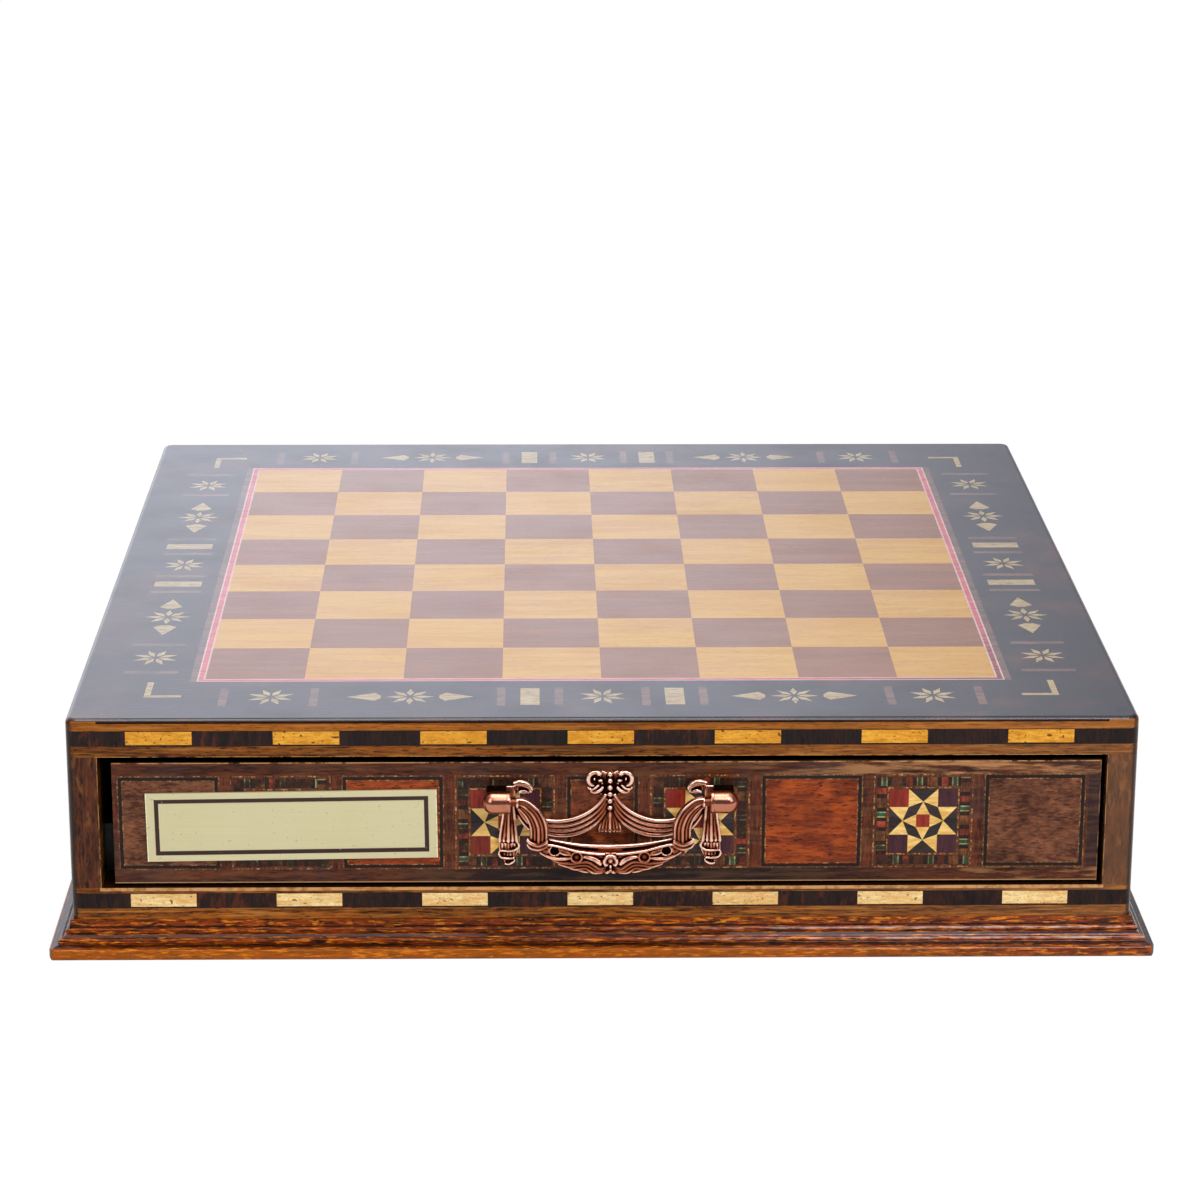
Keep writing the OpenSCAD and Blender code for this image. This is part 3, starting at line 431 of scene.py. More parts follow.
def walnut(name, axis, shift=(0, 0, 0), dark="#2e1407", light="#90511a", fleck="#c88a40", flecks=0.45,
           gloss=0.2, flow=0.00003, figure=(20, 420), glints=(35, 900), sheen=0.12, shine=None,
           worn=None):
    """Stained walnut under a clear finish, golden where the stain is thin. worn colours its worn edges and
    adds painted light and shade, and shine gives the weight of a second, glossier coat."""
    r = recipe(name)
    here = r.place(shift=shift)
    if axis == "x":
        here = r.turned_grain(here)
    colour, relief = timber(
        r, here, axis, dark, light, "#120704", figure=figure, fibre=(170, 1200), pores=0.75, streak=0.45
    )
    glint = r.noise(r.along(here, axis, *glints), detail=3, rough=0.65, warp=0.4)
    colour = r.mix(colour, fleck, r.smooth(glint, 0.52, 0.66) * flecks)
    stain = r.noise(r.along(here, axis, 12, 40), detail=3)
    colour = r.mix(colour, "#200d05", r.smooth(stain, 0.5, 0.75) * 0.45)
    if worn:
        colour = worn(r, colour)
    coat = shine(r) if shine else 0.0
    return varnish(r, colour, relief, here, gloss=gloss, grain=0.00003, flow=flow, sheen=sheen, coat=coat)


EDGE = "#e0a860"
# Painted shade: the near black that is painted on faces lying in shade.
PAINTED_SHADE = "#0a0504"


def case_edges(r, colour):
    """Painted light: the wood is painted paler to the right, where more light falls. Golden wood over the
    upper band and brown wood under it, worn edges round the opening, dark upright corners, and painted shade
    on the inside, which is painted nearly black."""
    here = r.place()
    x, y, z = r.split(here)
    across, back = abs(x), abs(y)
    hidden = (across < OPENING_HALF - SKIN) * (back < CASE_HALF_D - SKIN)
    # Painted light: paler toward the right, where more light falls.
    colour = r.mix(colour, "#a07858", r.smooth(x, 0.0, 0.2) * 0.18)
    colour = r.mix(colour, "#b0661c", r.smooth(z, BAND_TOP - 0.0003, BAND_TOP + 0.0003) * 0.25)
    colour = r.mix(colour, "#2a1208", r.band(z, OPENING_TOP, BAND_FOOT + 0.0003) * 0.22)
    # Painted shade: the inside of the case, which lies in shade, is painted nearly black.
    colour = r.mix(colour, PAINTED_SHADE, hidden * 0.93)
    patches = r.broken(here, 0.40, 0.54)
    face = back > CASE_HALF_D - SKIN
    over_opening = across < OPENING_HALF + 0.0005
    upper = r.band(z, OPENING_TOP - 0.0001, OPENING_TOP + 0.0002) * over_opening
    upright = r.band(across, OPENING_HALF - 0.0001, OPENING_HALF + 0.0002)
    upright = upright * r.band(z, OPENING_FOOT, OPENING_TOP)
    lower = r.band(z, OPENING_FOOT - 0.0012, OPENING_FOOT + 0.0001) * over_opening
    colour = r.mix(colour, EDGE, r.most(upper, upright) * face * patches * 0.5)
    corner = r.least(across - (CASE_HALF_W - CORNER_RADIUS), back - (CASE_HALF_D - CORNER_RADIUS))
    colour = r.mix(colour, "#14100f", r.smooth(corner, 0.0012, 0.0026) * 0.8)
    return r.mix(colour, "#c99560", lower * face * (patches * 0.5 + 0.4))


rail_wood = walnut("case walnut", "x", dark="#34180a", light="#a05a18", worn=case_edges)


def side_wood():
    """A side panel: mottled at its ends, and with long level grain on its broad face."""
    r = recipe("case walnut side")
    here = r.place(shift=(0.3, 0.1, 0.2))
    pore = "#120704"
    ends, relief = timber(r, here, "z", "#260f08", "#5e3018", pore, figure=(70, 190),
                          fibre=(170, 1200), pores=0.75)
    glint = r.noise(r.along(here, "z", 130, 420), detail=3, rough=0.65, warp=0.4)
    ends = r.mix(ends, "#9a6436", r.smooth(glint, 0.54, 0.68) * 0.3)
    level = r.turned_grain(here)
    broad, _ = timber(r, level, "x", "#2e1509", "#84501f", pore, figure=(9, 150),
                      fibre=(120, 1100), pores=0.75)
    cloud = r.noise(r.along(level, "x", 5, 30), detail=3)
    broad = r.mix(broad, "#2a1209", r.smooth(cloud, 0.42, 0.66) * 0.5)
    facing = abs(r.split(r.add("NewGeometry", out="Normal"))[0]) > 0.7
    colour = r.mix(ends, broad, facing)
    return varnish(r, case_edges(r, colour), relief, here, gloss=0.2, grain=0.00003, sheen=0.16)


stile_wood = side_wood()
dress("top_board", rail_wood)
dress("bottom_board", rail_wood)
dress("left_side_panel", stile_wood)
dress("right_side_panel", stile_wood)
dress("centre_divider", walnut(
    "divider wood", "x", shift=(0.7, 0, 0), gloss=0.4, dark="#140a06", light="#3a2010"))


PLINTH_GROOVES = (0.0046, 0.0073, 0.0101)
PLINTH_CRESTS = (0.0062, 0.0092)
PLINTH_STEP = 0.0006
NOSE_TOP = 0.0040


def plinth_steps(r, colour):
    """Painted shade in the grooves of the moulding, a painted highlight of pale streaks on the crests to the
    right, and a nose rubbed thin.
    """
    here = r.place()
    x, _, z = r.split(here)
    grooves = r.most(*(r.band(z, low, low + PLINTH_STEP, 0.00015) for low in PLINTH_GROOVES))
    # Painted shade: the grooves are painted nearly black.
    colour = r.mix(colour, "#080302", grooves * 0.8)
    # Painted highlight: pale broken streaks on the crests of the beads, stronger to the right.
    crests = r.most(*(r.band(z, low, low + PLINTH_STEP, 0.0002) for low in PLINTH_CRESTS))
    streaks = r.broken(r.along(here, "x", 0.3, 1.0), 0.38, 0.66, 420)
    worn = crests * streaks * r.smooth(x, -0.06, 0.15)
    colour = r.mix(colour, "#dcc0b0", worn * 0.6)
    nose = 1 - r.smooth(z, NOSE_TOP, NOSE_TOP + PLINTH_STEP)
    return r.mix(colour, "#d87a1a", nose * (0.30 - r.smooth(x, 0.04, 0.18) * 0.28))


def plinth_shine(r):
    """More gloss toward the right."""
    x = r.split(r.place())[0]
    return r.smooth(x, -0.02, 0.16) * 0.28 + 0.12


# The left and right lengths are painted darker, with fewer flecks than the front and rear: painted shade on
# the sides.
for piece, axis, light, flecks in (
    ("front", "x", "#983f04", 0.7),
    ("rear", "x", "#983f04", 0.7),
    ("left", "y", "#3e2210", 0.25),
    ("right", "y", "#3e2210", 0.25),
):
    dress("plinth_" + piece, walnut(
        "plinth walnut " + piece, axis, shift=(0.2, 0.5, 0.1), dark="#140501", light=light,
        fleck="#f08c1c", flecks=flecks, gloss=0.16, flow=0.00014, figure=(110, 700),
        glints=(170, 1100), sheen=0.08, shine=plinth_shine, worn=plinth_steps))


def banding():
    """Ebony with reddish cross streaks."""
    r = recipe("band ebony")
    here = r.place()
    colour, relief = timber(r, here, "z", "#130d0d", "#2c1914", "#060404", figure=(10, 160))
    cloud = r.noise(r.along(here, "z", 130, 380), detail=4, rough=0.65)
    where = r.noise(here, 16, detail=1)
    streaks = r.smooth(cloud, 0.48, 0.66) * r.smooth(where, 0.40, 0.60)
    colour = r.mix(colour, "#5e2a14", streaks * 0.55)
    return varnish(r, colour, relief, here, gloss=0.2, grain=0.00003, sheen=0.15)


def light_bar(name, dark, light, pore):
    """A light bar of the banding, with end pores like pin pricks."""
    r = recipe(name)
    here = r.turned_grain(r.place())
    colour, relief = timber(r, here, "x", dark, light, pore, figure=(60, 300), fibre=(250, 1000), pores=0.2)
    prick = r.noise(r.along(here, "x", 900, 1300), detail=1)
    prick = r.smooth(prick, 0.68, 0.74)
    knot = r.smooth(r.noise(r.along(here, "x", 380, 520), detail=0), 0.79, 0.83)
    ends = r.noise(here, 1100, detail=2)
    colour = r.mix(colour, dark, r.smooth(ends, 0.5, 0.7) * 0.5)
    colour = r.mix(colour, pore, r.most(prick, knot) * 0.85)
    return varnish(r, colour, relief - prick, here, gloss=0.2, grain=0.00005, sheen=0.15)


dress("edge_bands", banding())
dress("upper_bars", light_bar("amber inlay", "#bf7a18", "#e6a83a", "#38190a"))
dress("lower_bars", light_bar("pale maple inlay", "#d8a45c", "#f4dca0", "#5c3414"))


def plain_wood(name, dark, light, pore):
    """Unpolished wood with its grain along y."""
    r = recipe(name)
    here = r.place()
    colour, relief = timber(r, here, "y", dark, light, pore, pores=0.4)
    return varnish(r, colour, relief, here, gloss=0.45, grain=0.00003, flow=0.00001)


drawer_wood = plain_wood("inner wood", "#b08a58", "#d4b282", "#7a5630")
# Painted shade: the guides, which lie in shade inside the case, are painted nearly black.
dress("drawer_guides", plain_wood("guide wood painted dark as shade", "#0d0705", "#1c100a", "#050302"))


def felt(name, dark, light):
    """Short pile: fine fibres that catch the light."""
    r = recipe(name)
    here = r.place()
    pile = r.noise(here, 2200, detail=2)
    patch = r.noise(here, 22, detail=3)
    colour = r.mix(dark, light, r.smooth(patch, 0.3, 0.7) * 0.6 + pile * 0.4)
    return r.surface(
        colour, 0.9, r.bump(pile, 0.0003), sheen_weight=0.6, sheen_roughness=0.4, specular_ior_level=0.2)


green_velvet = felt("green velvet", "#12351f", "#2a5a38")
green_baize = felt("green baize", "#183c26", "#2c5e3c")


def screw_steel():
    """Dull steel, a little cloudy."""
    r = recipe("screw steel")
    here = r.place()
    cloud = r.noise(here, 160, detail=3)
    fine = r.noise(here, 1500, detail=2)
    colour = r.mix("#b4b4b8", "#70706e", r.smooth(cloud, 0.5, 0.8) * 0.3)
    return r.surface(colour, cloud * 0.12 + 0.3, r.bump(fine, 0.00001), metallic=1.0)


# The name of the attribute that tells the copper how far each point stands above its surroundings. On the
# knuckles' roots it is set low instead, so that they are painted dark: painted shade behind the knuckles.
RELIEF_AND_SHADE = "relief"


def patinated_copper():
    """Cast copper: pale where hands rub the ridges, and nearly black in the hollows and on the knuckles'
    roots, where the darkness is painted shade.
    """
    r = recipe("copper")
    here = r.place()
    relief = r.add("Attribute", out="Fac", attribute_name=RELIEF_AND_SHADE)
    cloud = r.noise(here, 300, detail=3)
    fine = r.noise(here, 2500, detail=2)
    open_metal = r.smooth(relief, -0.07, 0.09)
    rubbed = r.smooth(relief, 0.06, 0.19)
    colour = r.mix("#120604", "#b06042", open_metal)
    colour = r.mix(colour, "#ffd4bc", rubbed)
    colour = r.mix(colour, "#7c3a26", r.smooth(cloud, 0.55, 0.8) * 0.3)
    rough = (1 - open_metal) * 0.35 + cloud * 0.08 + 0.15
    return r.surface(colour, rough, r.bump(fine, 0.000012), metallic=1.0)


# The nameplate's tilt, in degrees, and its length and height.
PLATE_TILT = 0.7
PLATE_SIZE = (0.1033, 0.0257)
# How far the line lies inside the plate's edge, and its width.
PLATE_LINE = (0.0023, 0.00155)
# The line and the rim lie this much nearer to the plate's ends than to its long sides.
PLATE_SIDE = 0.0007


def plate_gold():
    """Pale anodised plate, brushed along its length, with a dark line sunk round its edge and a painted
    highlight on its rim.
    """
    r = recipe("nameplate gold")
    here = r.place()
    x, _, z = r.split(here)
    middle = box_middle("nameplate")
    tilt = math.radians(PLATE_TILT)
    u = (x - middle.x) * math.cos(tilt) + (z - middle.z) * math.sin(tilt)
    v = (z - middle.z) * math.cos(tilt) - (x - middle.x) * math.sin(tilt)
    inset = r.least(PLATE_SIZE[0] / 2 - PLATE_SIDE - abs(u), PLATE_SIZE[1] / 2 - abs(v))
    brushed = r.noise(r.along(here, "x", 25, 2400), detail=2)
    cloud = r.noise(here, 40, detail=3)
    colour = r.mix("#c6bc90", "#d8d0a8", brushed * 0.6 + cloud * 0.4)
    speck = r.smooth(r.noise(here, 900, detail=1), 0.72, 0.76)
    colour = r.mix(colour, "#8a7c50", speck * 0.5)
    # Painted highlight: a pale broken line painted on the plate's rim.
    rim = r.band(inset, -1, 0.0003 - PLATE_SIDE) * r.broken(here, 0.40, 0.50, 500)
    colour = r.mix(colour, "#f4ecc8", rim)
    line = r.band(inset, PLATE_LINE[0], PLATE_LINE[0] + PLATE_LINE[1], 0.00004)
    worn = r.smooth(r.noise(here, 700, detail=2), 0.68, 0.80)
    colour = r.mix(colour, "#38221f", line * (1 - worn * 0.4))
    return r.surface(
        colour, (1 - line) * 0.1 + 0.32 + brushed * 0.08, r.bump(brushed, 0.000006),
        metallic=0.35, specular_ior_level=0.4)


copper = patinated_copper()
steel = screw_steel()
dress("plinth_screws", steel)
dress("nameplate", plate_gold())


# ------------------------------------------------------------------ cast handles

MM = 0.001
# The bail's axis lies this many millimetres out from the drawer's face.
PIN_OUT = 12


def flowing(points, steps=6):
    """More points on a smooth line through the given ones, whatever each holds beside its place."""
    points = [Vector(p) for p in points]
    ends = [points[0] * 2 - points[1], *points, points[-1] * 2 - points[-2]]
    line = []
    for a, b, c, d in zip(ends, ends[1:], ends[2:], ends[3:]):
        for i in range(steps):
            t = i / steps
            line.append(
                (b * 2 + (c - a) * t + (a * 2 - b * 5 + c * 4 - d) * t * t
                 + (b * 3 - a - c * 3 + d) * t * t * t) / 2
            )
    return [*line, points[-1]]


class Casting:
    """Strands, slabs and drops fused into one cast piece. Lengths are in millimetres: x to the right of
    the handle's middle, z up from the bail's axis, and out from the drawer's face."""

    def __init__(self):
        self.lines, self.parts = [], []

    def strand(self, points, out, both=True):
        """A round strand through points (x, z, half its thickness)."""
        for side in (1, -1) if both else (1,):
            self.lines.append([(side * x, z, thick, out) for x, z, thick in points])

    def add(self, holder, both):
        """Keeps a part and, where it belongs on both sides, its mirror image."""
        self.parts.append(holder)
        if both:
            self.parts.append(mirrored(holder))

    def slab(self, outline, low, high, edge=0.25, holes=(), both=True):
        """A flat shape on the face with softened edges, from one depth to another."""
        line = bpy.data.curves.new("slab", "CURVE")
        line.dimensions, line.fill_mode = "2D", "BOTH"
        line.extrude, line.bevel_depth, line.offset = (high - low) / 2 - edge, edge, -edge
        line.bevel_resolution = 2
        for loop in (outline, *holes):
            spline = line.splines.new("POLY")
            spline.points.add(len(loop) - 1)
            for point, (x, z) in zip(spline.points, loop):
                point.co = (x, z, 0, 1)
            spline.use_cyclic_u = True
        holder = as_mesh(line)
        holder.data.transform(
            Matrix.Translation((0, -(low + high) / 2, 0)) @ Matrix.Rotation(math.pi / 2, 4, "X")
        )
        self.add(holder, both)

    def drop(self, x, z, out, half, both=True):
        """A rounded drop with its three half sizes along x, z and out."""
        bpy.ops.mesh.primitive_uv_sphere_add(segments=24, ring_count=16, radius=1, location=(0, 0, 0))
        holder = bpy.context.object
        holder.data.transform(
            Matrix.Translation((x, -out, z)) @ Matrix.Diagonal((half[0], half[2], half[1], 1))
        )
        self.add(holder, both)

    def ring(self, x, z, out, radius, thick):
        """A ring that lies flat on each side."""
        bpy.ops.mesh.primitive_torus_add(
            major_radius=radius, minor_radius=thick, major_segments=32, minor_segments=10,
            location=(0, 0, 0), rotation=(0, 0, 0),
        )
        holder = bpy.context.object
        holder.data.transform(Matrix.Translation((x, -out, z)) @ Matrix.Rotation(math.pi / 2, 4, "X"))
        self.add(holder, both=True)

    def fuse(self, name, grain=0.24):
        """One closed skin over everything, as a casting has."""
        line = bpy.data.curves.new("strands", "CURVE")
        line.dimensions, line.bevel_depth, line.bevel_resolution = "3D", 1, 3
        line.use_fill_caps = True
        for points in self.lines:
            path = flowing(points)
            spline = line.splines.new("POLY")
            spline.points.add(len(path) - 1)
            for point, (x, z, thick, out) in zip(spline.points, path):
                point.co, point.radius = (x, -out, z, 1), thick
        whole = joined(name, [as_mesh(line), *self.parts])
        bpy.ops.object.mode_set(mode="EDIT")
        bpy.ops.mesh.select_all(action="SELECT")
        bpy.ops.mesh.remove_doubles(threshold=0.002)
        bpy.ops.object.mode_set(mode="OBJECT")
        skin = whole.modifiers.new("skin", "REMESH")
        skin.mode, skin.voxel_size = "VOXEL", grain
        bpy.ops.object.modifier_apply(modifier="skin")
        polish = whole.modifiers.new("polish", "SMOOTH")
        polish.factor, polish.iterations = 0.5, 2
        bpy.ops.object.modifier_apply(modifier="polish")
        bpy.ops.object.shade_smooth()
        mark_relief(whole)
        return whole


def mark_relief(piece, rounds=28):
    """Keeps at each point how far it stands above its surroundings, in millimetres, for the patina."""
    mesh = piece.data
    places = np.empty(len(mesh.vertices) * 3)
    mesh.vertices.foreach_get("co", places)
    places = places.reshape(-1, 3)
    normals = np.empty_like(places)
    mesh.vertices.foreach_get("normal", normals.reshape(-1))
    ends = np.empty(len(mesh.edges) * 2, dtype=np.int32)
    mesh.edges.foreach_get("vertices", ends)
    first, second = ends.reshape(-1, 2).T
    near, far = np.concatenate((first, second)), np.concatenate((second, first))
    share = np.bincount(near, minlength=len(places))
    level = places.copy()
    for _ in range(rounds):
        around = [np.bincount(near, level[far, axis], len(places)) / share for axis in range(3)]
        level = (level + np.stack(around, 1)) / 2
    height = ((places - level) * normals).sum(1)
    mesh.attributes.new(RELIEF_AND_SHADE, "FLOAT", "POINT").data.foreach_set("value", height)


def as_mesh(line):
    """A curve's data as a mesh object."""
    holder = bpy.data.objects.new(line.name, line)
    bpy.context.scene.collection.objects.link(holder)
    bpy.ops.object.select_all(action="DESELECT")
    holder.select_set(True)
    bpy.context.view_layer.objects.active = holder
    bpy.ops.object.convert(target="MESH")
    return bpy.context.object


def joined(name, parts):
    """The first part, with the others made one mesh with it."""
    bpy.ops.object.select_all(action="DESELECT")
    for part in parts:
        part.select_set(True)
    bpy.context.view_layer.objects.active = parts[0]
    bpy.ops.object.join()
    parts[0].name = parts[0].data.name = name
    return parts[0]


def mirrored(part):
    """The same piece on the other side of the handle."""
    other = part.copy()
    other.data = part.data.copy()
    other.data.transform(Matrix.Scale(-1, 4, (1, 0, 0)))
    other.data.flip_normals()
    bpy.context.scene.collection.objects.link(other)
    return other


def circle(x, z, radius, steps=32):
    """Points round a circle."""
    return [
        (x + radius * math.cos(2 * math.pi * i / steps), z + radius * math.sin(2 * math.pi * i / steps))
        for i in range(steps)
    ]


def both_sides(line):
    """A line that ends on the handle's middle, and its mirror image after it."""
    return [*line, *((-x, z) for x, z in reversed(line[:-1]))]


def fold_line(i, steps=14):
    """The centreline of one fold of the drapery, from the bow to the post; fold 0 is the highest."""
    ends = (
        Vector((1.4 - 0.15 * i, -0.6 - 1.55 * i)), Vector((6.8 - 0.53 * i, -12 - 2.2 * i)),
        Vector((26 + 0.33 * i, -16 - 1.85 * i)), Vector((33.5, -2.2 - 0.67 * i)),
    )
    line = []
    for k in range(steps + 1):
        t = k / steps
        weights = ((1 - t) ** 3, 3 * t * (1 - t) ** 2, 3 * t * t * (1 - t), t ** 3)
        line.append(sum((e * w for e, w in zip(ends, weights)), Vector((0, 0))))
    return line


def cast_drapery():
    """The plate: a beaded bow, swags of four folds, tassels and a ribbon's curl beside each post."""
    cast = Casting()
    top, bottom = fold_line(0), fold_line(3)
    cast.slab([*top, *reversed(bottom)], 0, 1.3, 0.2)
    for i in range(4):
        line = fold_line(i)
        last = len(line) - 1
        cast.strand(
            [(p.x, p.y, 0.5 + 0.36 * math.sin(math.pi * min(1, (k + 1.5) / last)) ** 0.5)
             for k, p in enumerate(line)], 1.75)
    bow = [(0, 6.5), (2.5, 7.9), (5, 7.9), (7.4, 6.4), (8, 4.2), (7.4, 2.2), (5, -0.3), (0, -2.6)]
    cast.slab(bow, 0, 1.2)
    tail = [(-0.9, 8), (0.9, 8), (1.3, -6.5), (3.4, -14.4), (-3.4, -14.4), (-1.3, -6.5)]
    cast.slab(tail, 0, 1.5, both=False)
    cast.strand([(2.9, 6.7, 0.6), (3.8, 7.4, 1.0), (5.2, 7.6, 0.8), (6.9, 7.1, 0.85), (7.7, 5.7, 0.92),
                 (7.5, 4.0, 0.85), (6.5, 2.9, 0.6), (5.6, 2.7, 0.35)], 2.2)
    cast.drop(3.9, 7.4, 2.6, (1.0, 0.9, 0.9))
    cast.drop(5.6, 5.0, 1.6, (0.45, 0.75, 0.7))
    cast.drop(3.45, 4.5, 1.7, (1.0, 0.6, 0.8))
    cast.drop(2.8, 3.3, 1.5, (0.35, 0.35, 0.5))
    cast.strand([(4.0, 2.8, 0.35), (5.2, 1.6, 0.5), (6.5, 1.1, 0.5), (7.5, 1.5, 0.4), (8.0, 2.1, 0.3)], 1.7)
    cast.strand(
        [(2.4, 2.1, 0.5), (3.5, 0.8, 0.65), (5.0, 0.05, 0.65), (6.2, 0.1, 0.5), (7.0, 0.5, 0.3)], 1.7)
    for i in range(6):
        cast.drop(0, 7.1 - 2.54 * i, 2.4, (1.0, 1.0, 1.0), both=False)
    for k, (reach, thick) in enumerate(((0.0, 0.7), (1.35, 0.5), (2.55, 0.5), (3.6, 0.45))):
        cast.strand(
            [(0.2 * k, -6.4, 0.4), (reach * 0.45, -8.4, thick * 0.85), (reach * 0.82, -11, thick),
             (reach, -13.7, thick * 1.1), (reach * 1.02, -15.0, thick * 0.7)], 2.3 - 0.12 * k, both=k > 0)
    hang_tassel(cast)
    curl_ribbon(cast)
    return cast.fuse("front_handle_drapery")


def hang_tassel(cast):
    """A post's tassel: a fluted skirt that hangs from the post, two cords behind it, and a folded foot."""
    cast.slab([(34, -2), (37.4, -2), (39.5, -19.7), (39.7, -24.3), (38.4, -25.5), (37.4, -27.6), (35, -27.6),
               (33.9, -25.5), (32.5, -22), (32.5, -19.7)], 0, 1.1)
    for i, thick in enumerate((0.62, 0.5, 0.78, 0.55, 0.6)):
        cast.strand([(34.5 + 0.7 * i, -2.5, thick * 0.7), (33.9 + 1.05 * i, -10, thick * 0.9),
                     (33.2 + 1.5 * i, -17.6, thick), (33.15 + 1.55 * i, -18.6, thick * 0.7)], 2.1)
    for shift in (0, 1.7):
        cast.strand([(34.4 - shift, -3.2, 0.6), (33.8 - shift, -6.3, 0.75),
                     (31.2 - shift * 0.9, -11.0, 0.8), (28.6 - shift * 0.6, -14.2, 0.7)], 1.1)
    cast.strand([(32.6, -18.9, 0.5), (32.4, -20.3, 0.5), (33.9, -21.7, 0.5), (36.5, -22.0, 0.45),
                 (39.5, -21.8, 0.4)], 2.1)
    cast.strand([(39.4, -22.2, 0.4), (39.5, -23.2, 0.5), (38.6, -24.5, 0.5), (36.5, -24.9, 0.45),
                 (33.9, -24.7, 0.4)], 2.0)
    cast.strand([(33.9, -25.2, 0.35), (34.3, -26.2, 0.45), (35.8, -27.1, 0.45), (37.6, -27.0, 0.4)], 1.8)
    for low, high, start, count, out in ((-21.4, -19.2, 33.9, 5, 1.5), (-24.2, -22.4, 34.3, 5, 1.3),
                                         (-26.4, -25.3, 35.2, 3, 1.2)):
        for i in range(count):
            x = start + 1.1 * i
            cast.strand([(x, high, 0.42), (x, low, 0.42)], out)


def curl_ribbon(cast):
    """The seat of a post, and the curl of ribbon beside it."""
    cast.slab([(33.6, -4), (43.6, -4), (43.6, 2.2), (33.6, 2.2)], 0, 1.2, 0.4)
    cast.slab(circle(30.6, 1.8, 2.7), 0, 1.2)
    cast.strand(
        [(34.4, 3.6, 0.9), (32.2, 3.9, 1.3), (29.7, 3.4, 1.35), (28.2, 2.0, 1.05), (28.2, 0.2, 0.55)], 2.4)
    cast.strand([(32.6, 0.0, 0.5), (30.6, 0.7, 0.65), (28.6, -0.1, 0.4)], 1.9)


# The middles of the crescent's right hole and right medallion.
HOLE = (19.8, -17.95)
MEDALLION = (12.0, -20.3)


def cast_bail():
    """The swinging grip: two fluted horns, folded collars and a crescent with a flower at its middle."""
    cast = Casting()
    upper = [(-25.2, -15.6), (-22, -15.3), (-18, -16.1), (-12, -17.6), (-6, -18.4), (0, -18.8)]
    lower = [(0, -26.6), (8.7, -25.6), (13.5, -24.4), (17.6, -22.5), (21.5, -20.4), (24.4, -18.9),
             (25.8, -17.6)]
    rim = both_sides(flowing(upper, 4))
    keel = both_sides(flowing(lower, 4)[::-1])
    holes = [circle(-HOLE[0], HOLE[1], 1.5), circle(*HOLE, 1.5)]
    cast.slab([*rim, *keel], 10.2, 12.9, 0.5, holes, both=False)
    cast.slab(circle(*HOLE, 1.9), 10.0, 10.8)
    grow_horns(cast)
    carve_crescent(cast)
    open_flower(cast)
    return cast.fuse("front_handle_grip")


def grow_horns(cast):
    """The two horns of five flutes, from the pins down to the folded collars."""
    outer = [(33.2, 1.2), (30.6, 0.9), (28.2, -0.4), (24.9, -3.9), (23.1, -8.7), (22.9, -13.8),
             (23.2, -15.2)]
    inner = [(33.2, -1.6), (32.2, -2.2), (31.2, -3.2), (29.5, -5.4), (28.0, -9.2), (27.9, -13.8),
             (27.9, -15.2)]
    for i, wide in enumerate((0.72, 0.62, 0.78, 0.6, 0.55)):
        t = i / 4
        line = [(a[0] * (1 - t) + b[0] * t, a[1] * (1 - t) + b[1] * t) for a, b in zip(outer, inner)]
        cast.strand(
            [(x, z, wide * (0.6 + 0.4 * min(1, k / 3))) for k, (x, z) in enumerate(line)],
            12.9 - 0.25 * abs(i - 1.5))
        cast.strand(
            [(x, z, wide * 1.35 * (0.7 + 0.3 * min(1, k / 3))) for k, (x, z) in enumerate(line)], 11.5)
    cast.drop(32.9, -0.2, 12, (0.9, 1.9, 1.5))

    cast.strand([(29.6, -13.4, 0.55), (28.1, -15.0, 0.8), (25.5, -15.8, 0.9), (23.2, -15.0, 0.8),
                 (22.3, -14.0, 0.5)], 12.9)
    cast.strand([(29.5, -15.2, 0.5), (28.2, -16.6, 0.8), (25.5, -17.2, 0.9), (23.0, -16.4, 0.8),
                 (22.1, -15.2, 0.5)], 12.7)
    cast.strand([(28.8, -14.6, 1.2), (25.7, -16.2, 1.5), (22.9, -15.2, 1.2)], 11.5)


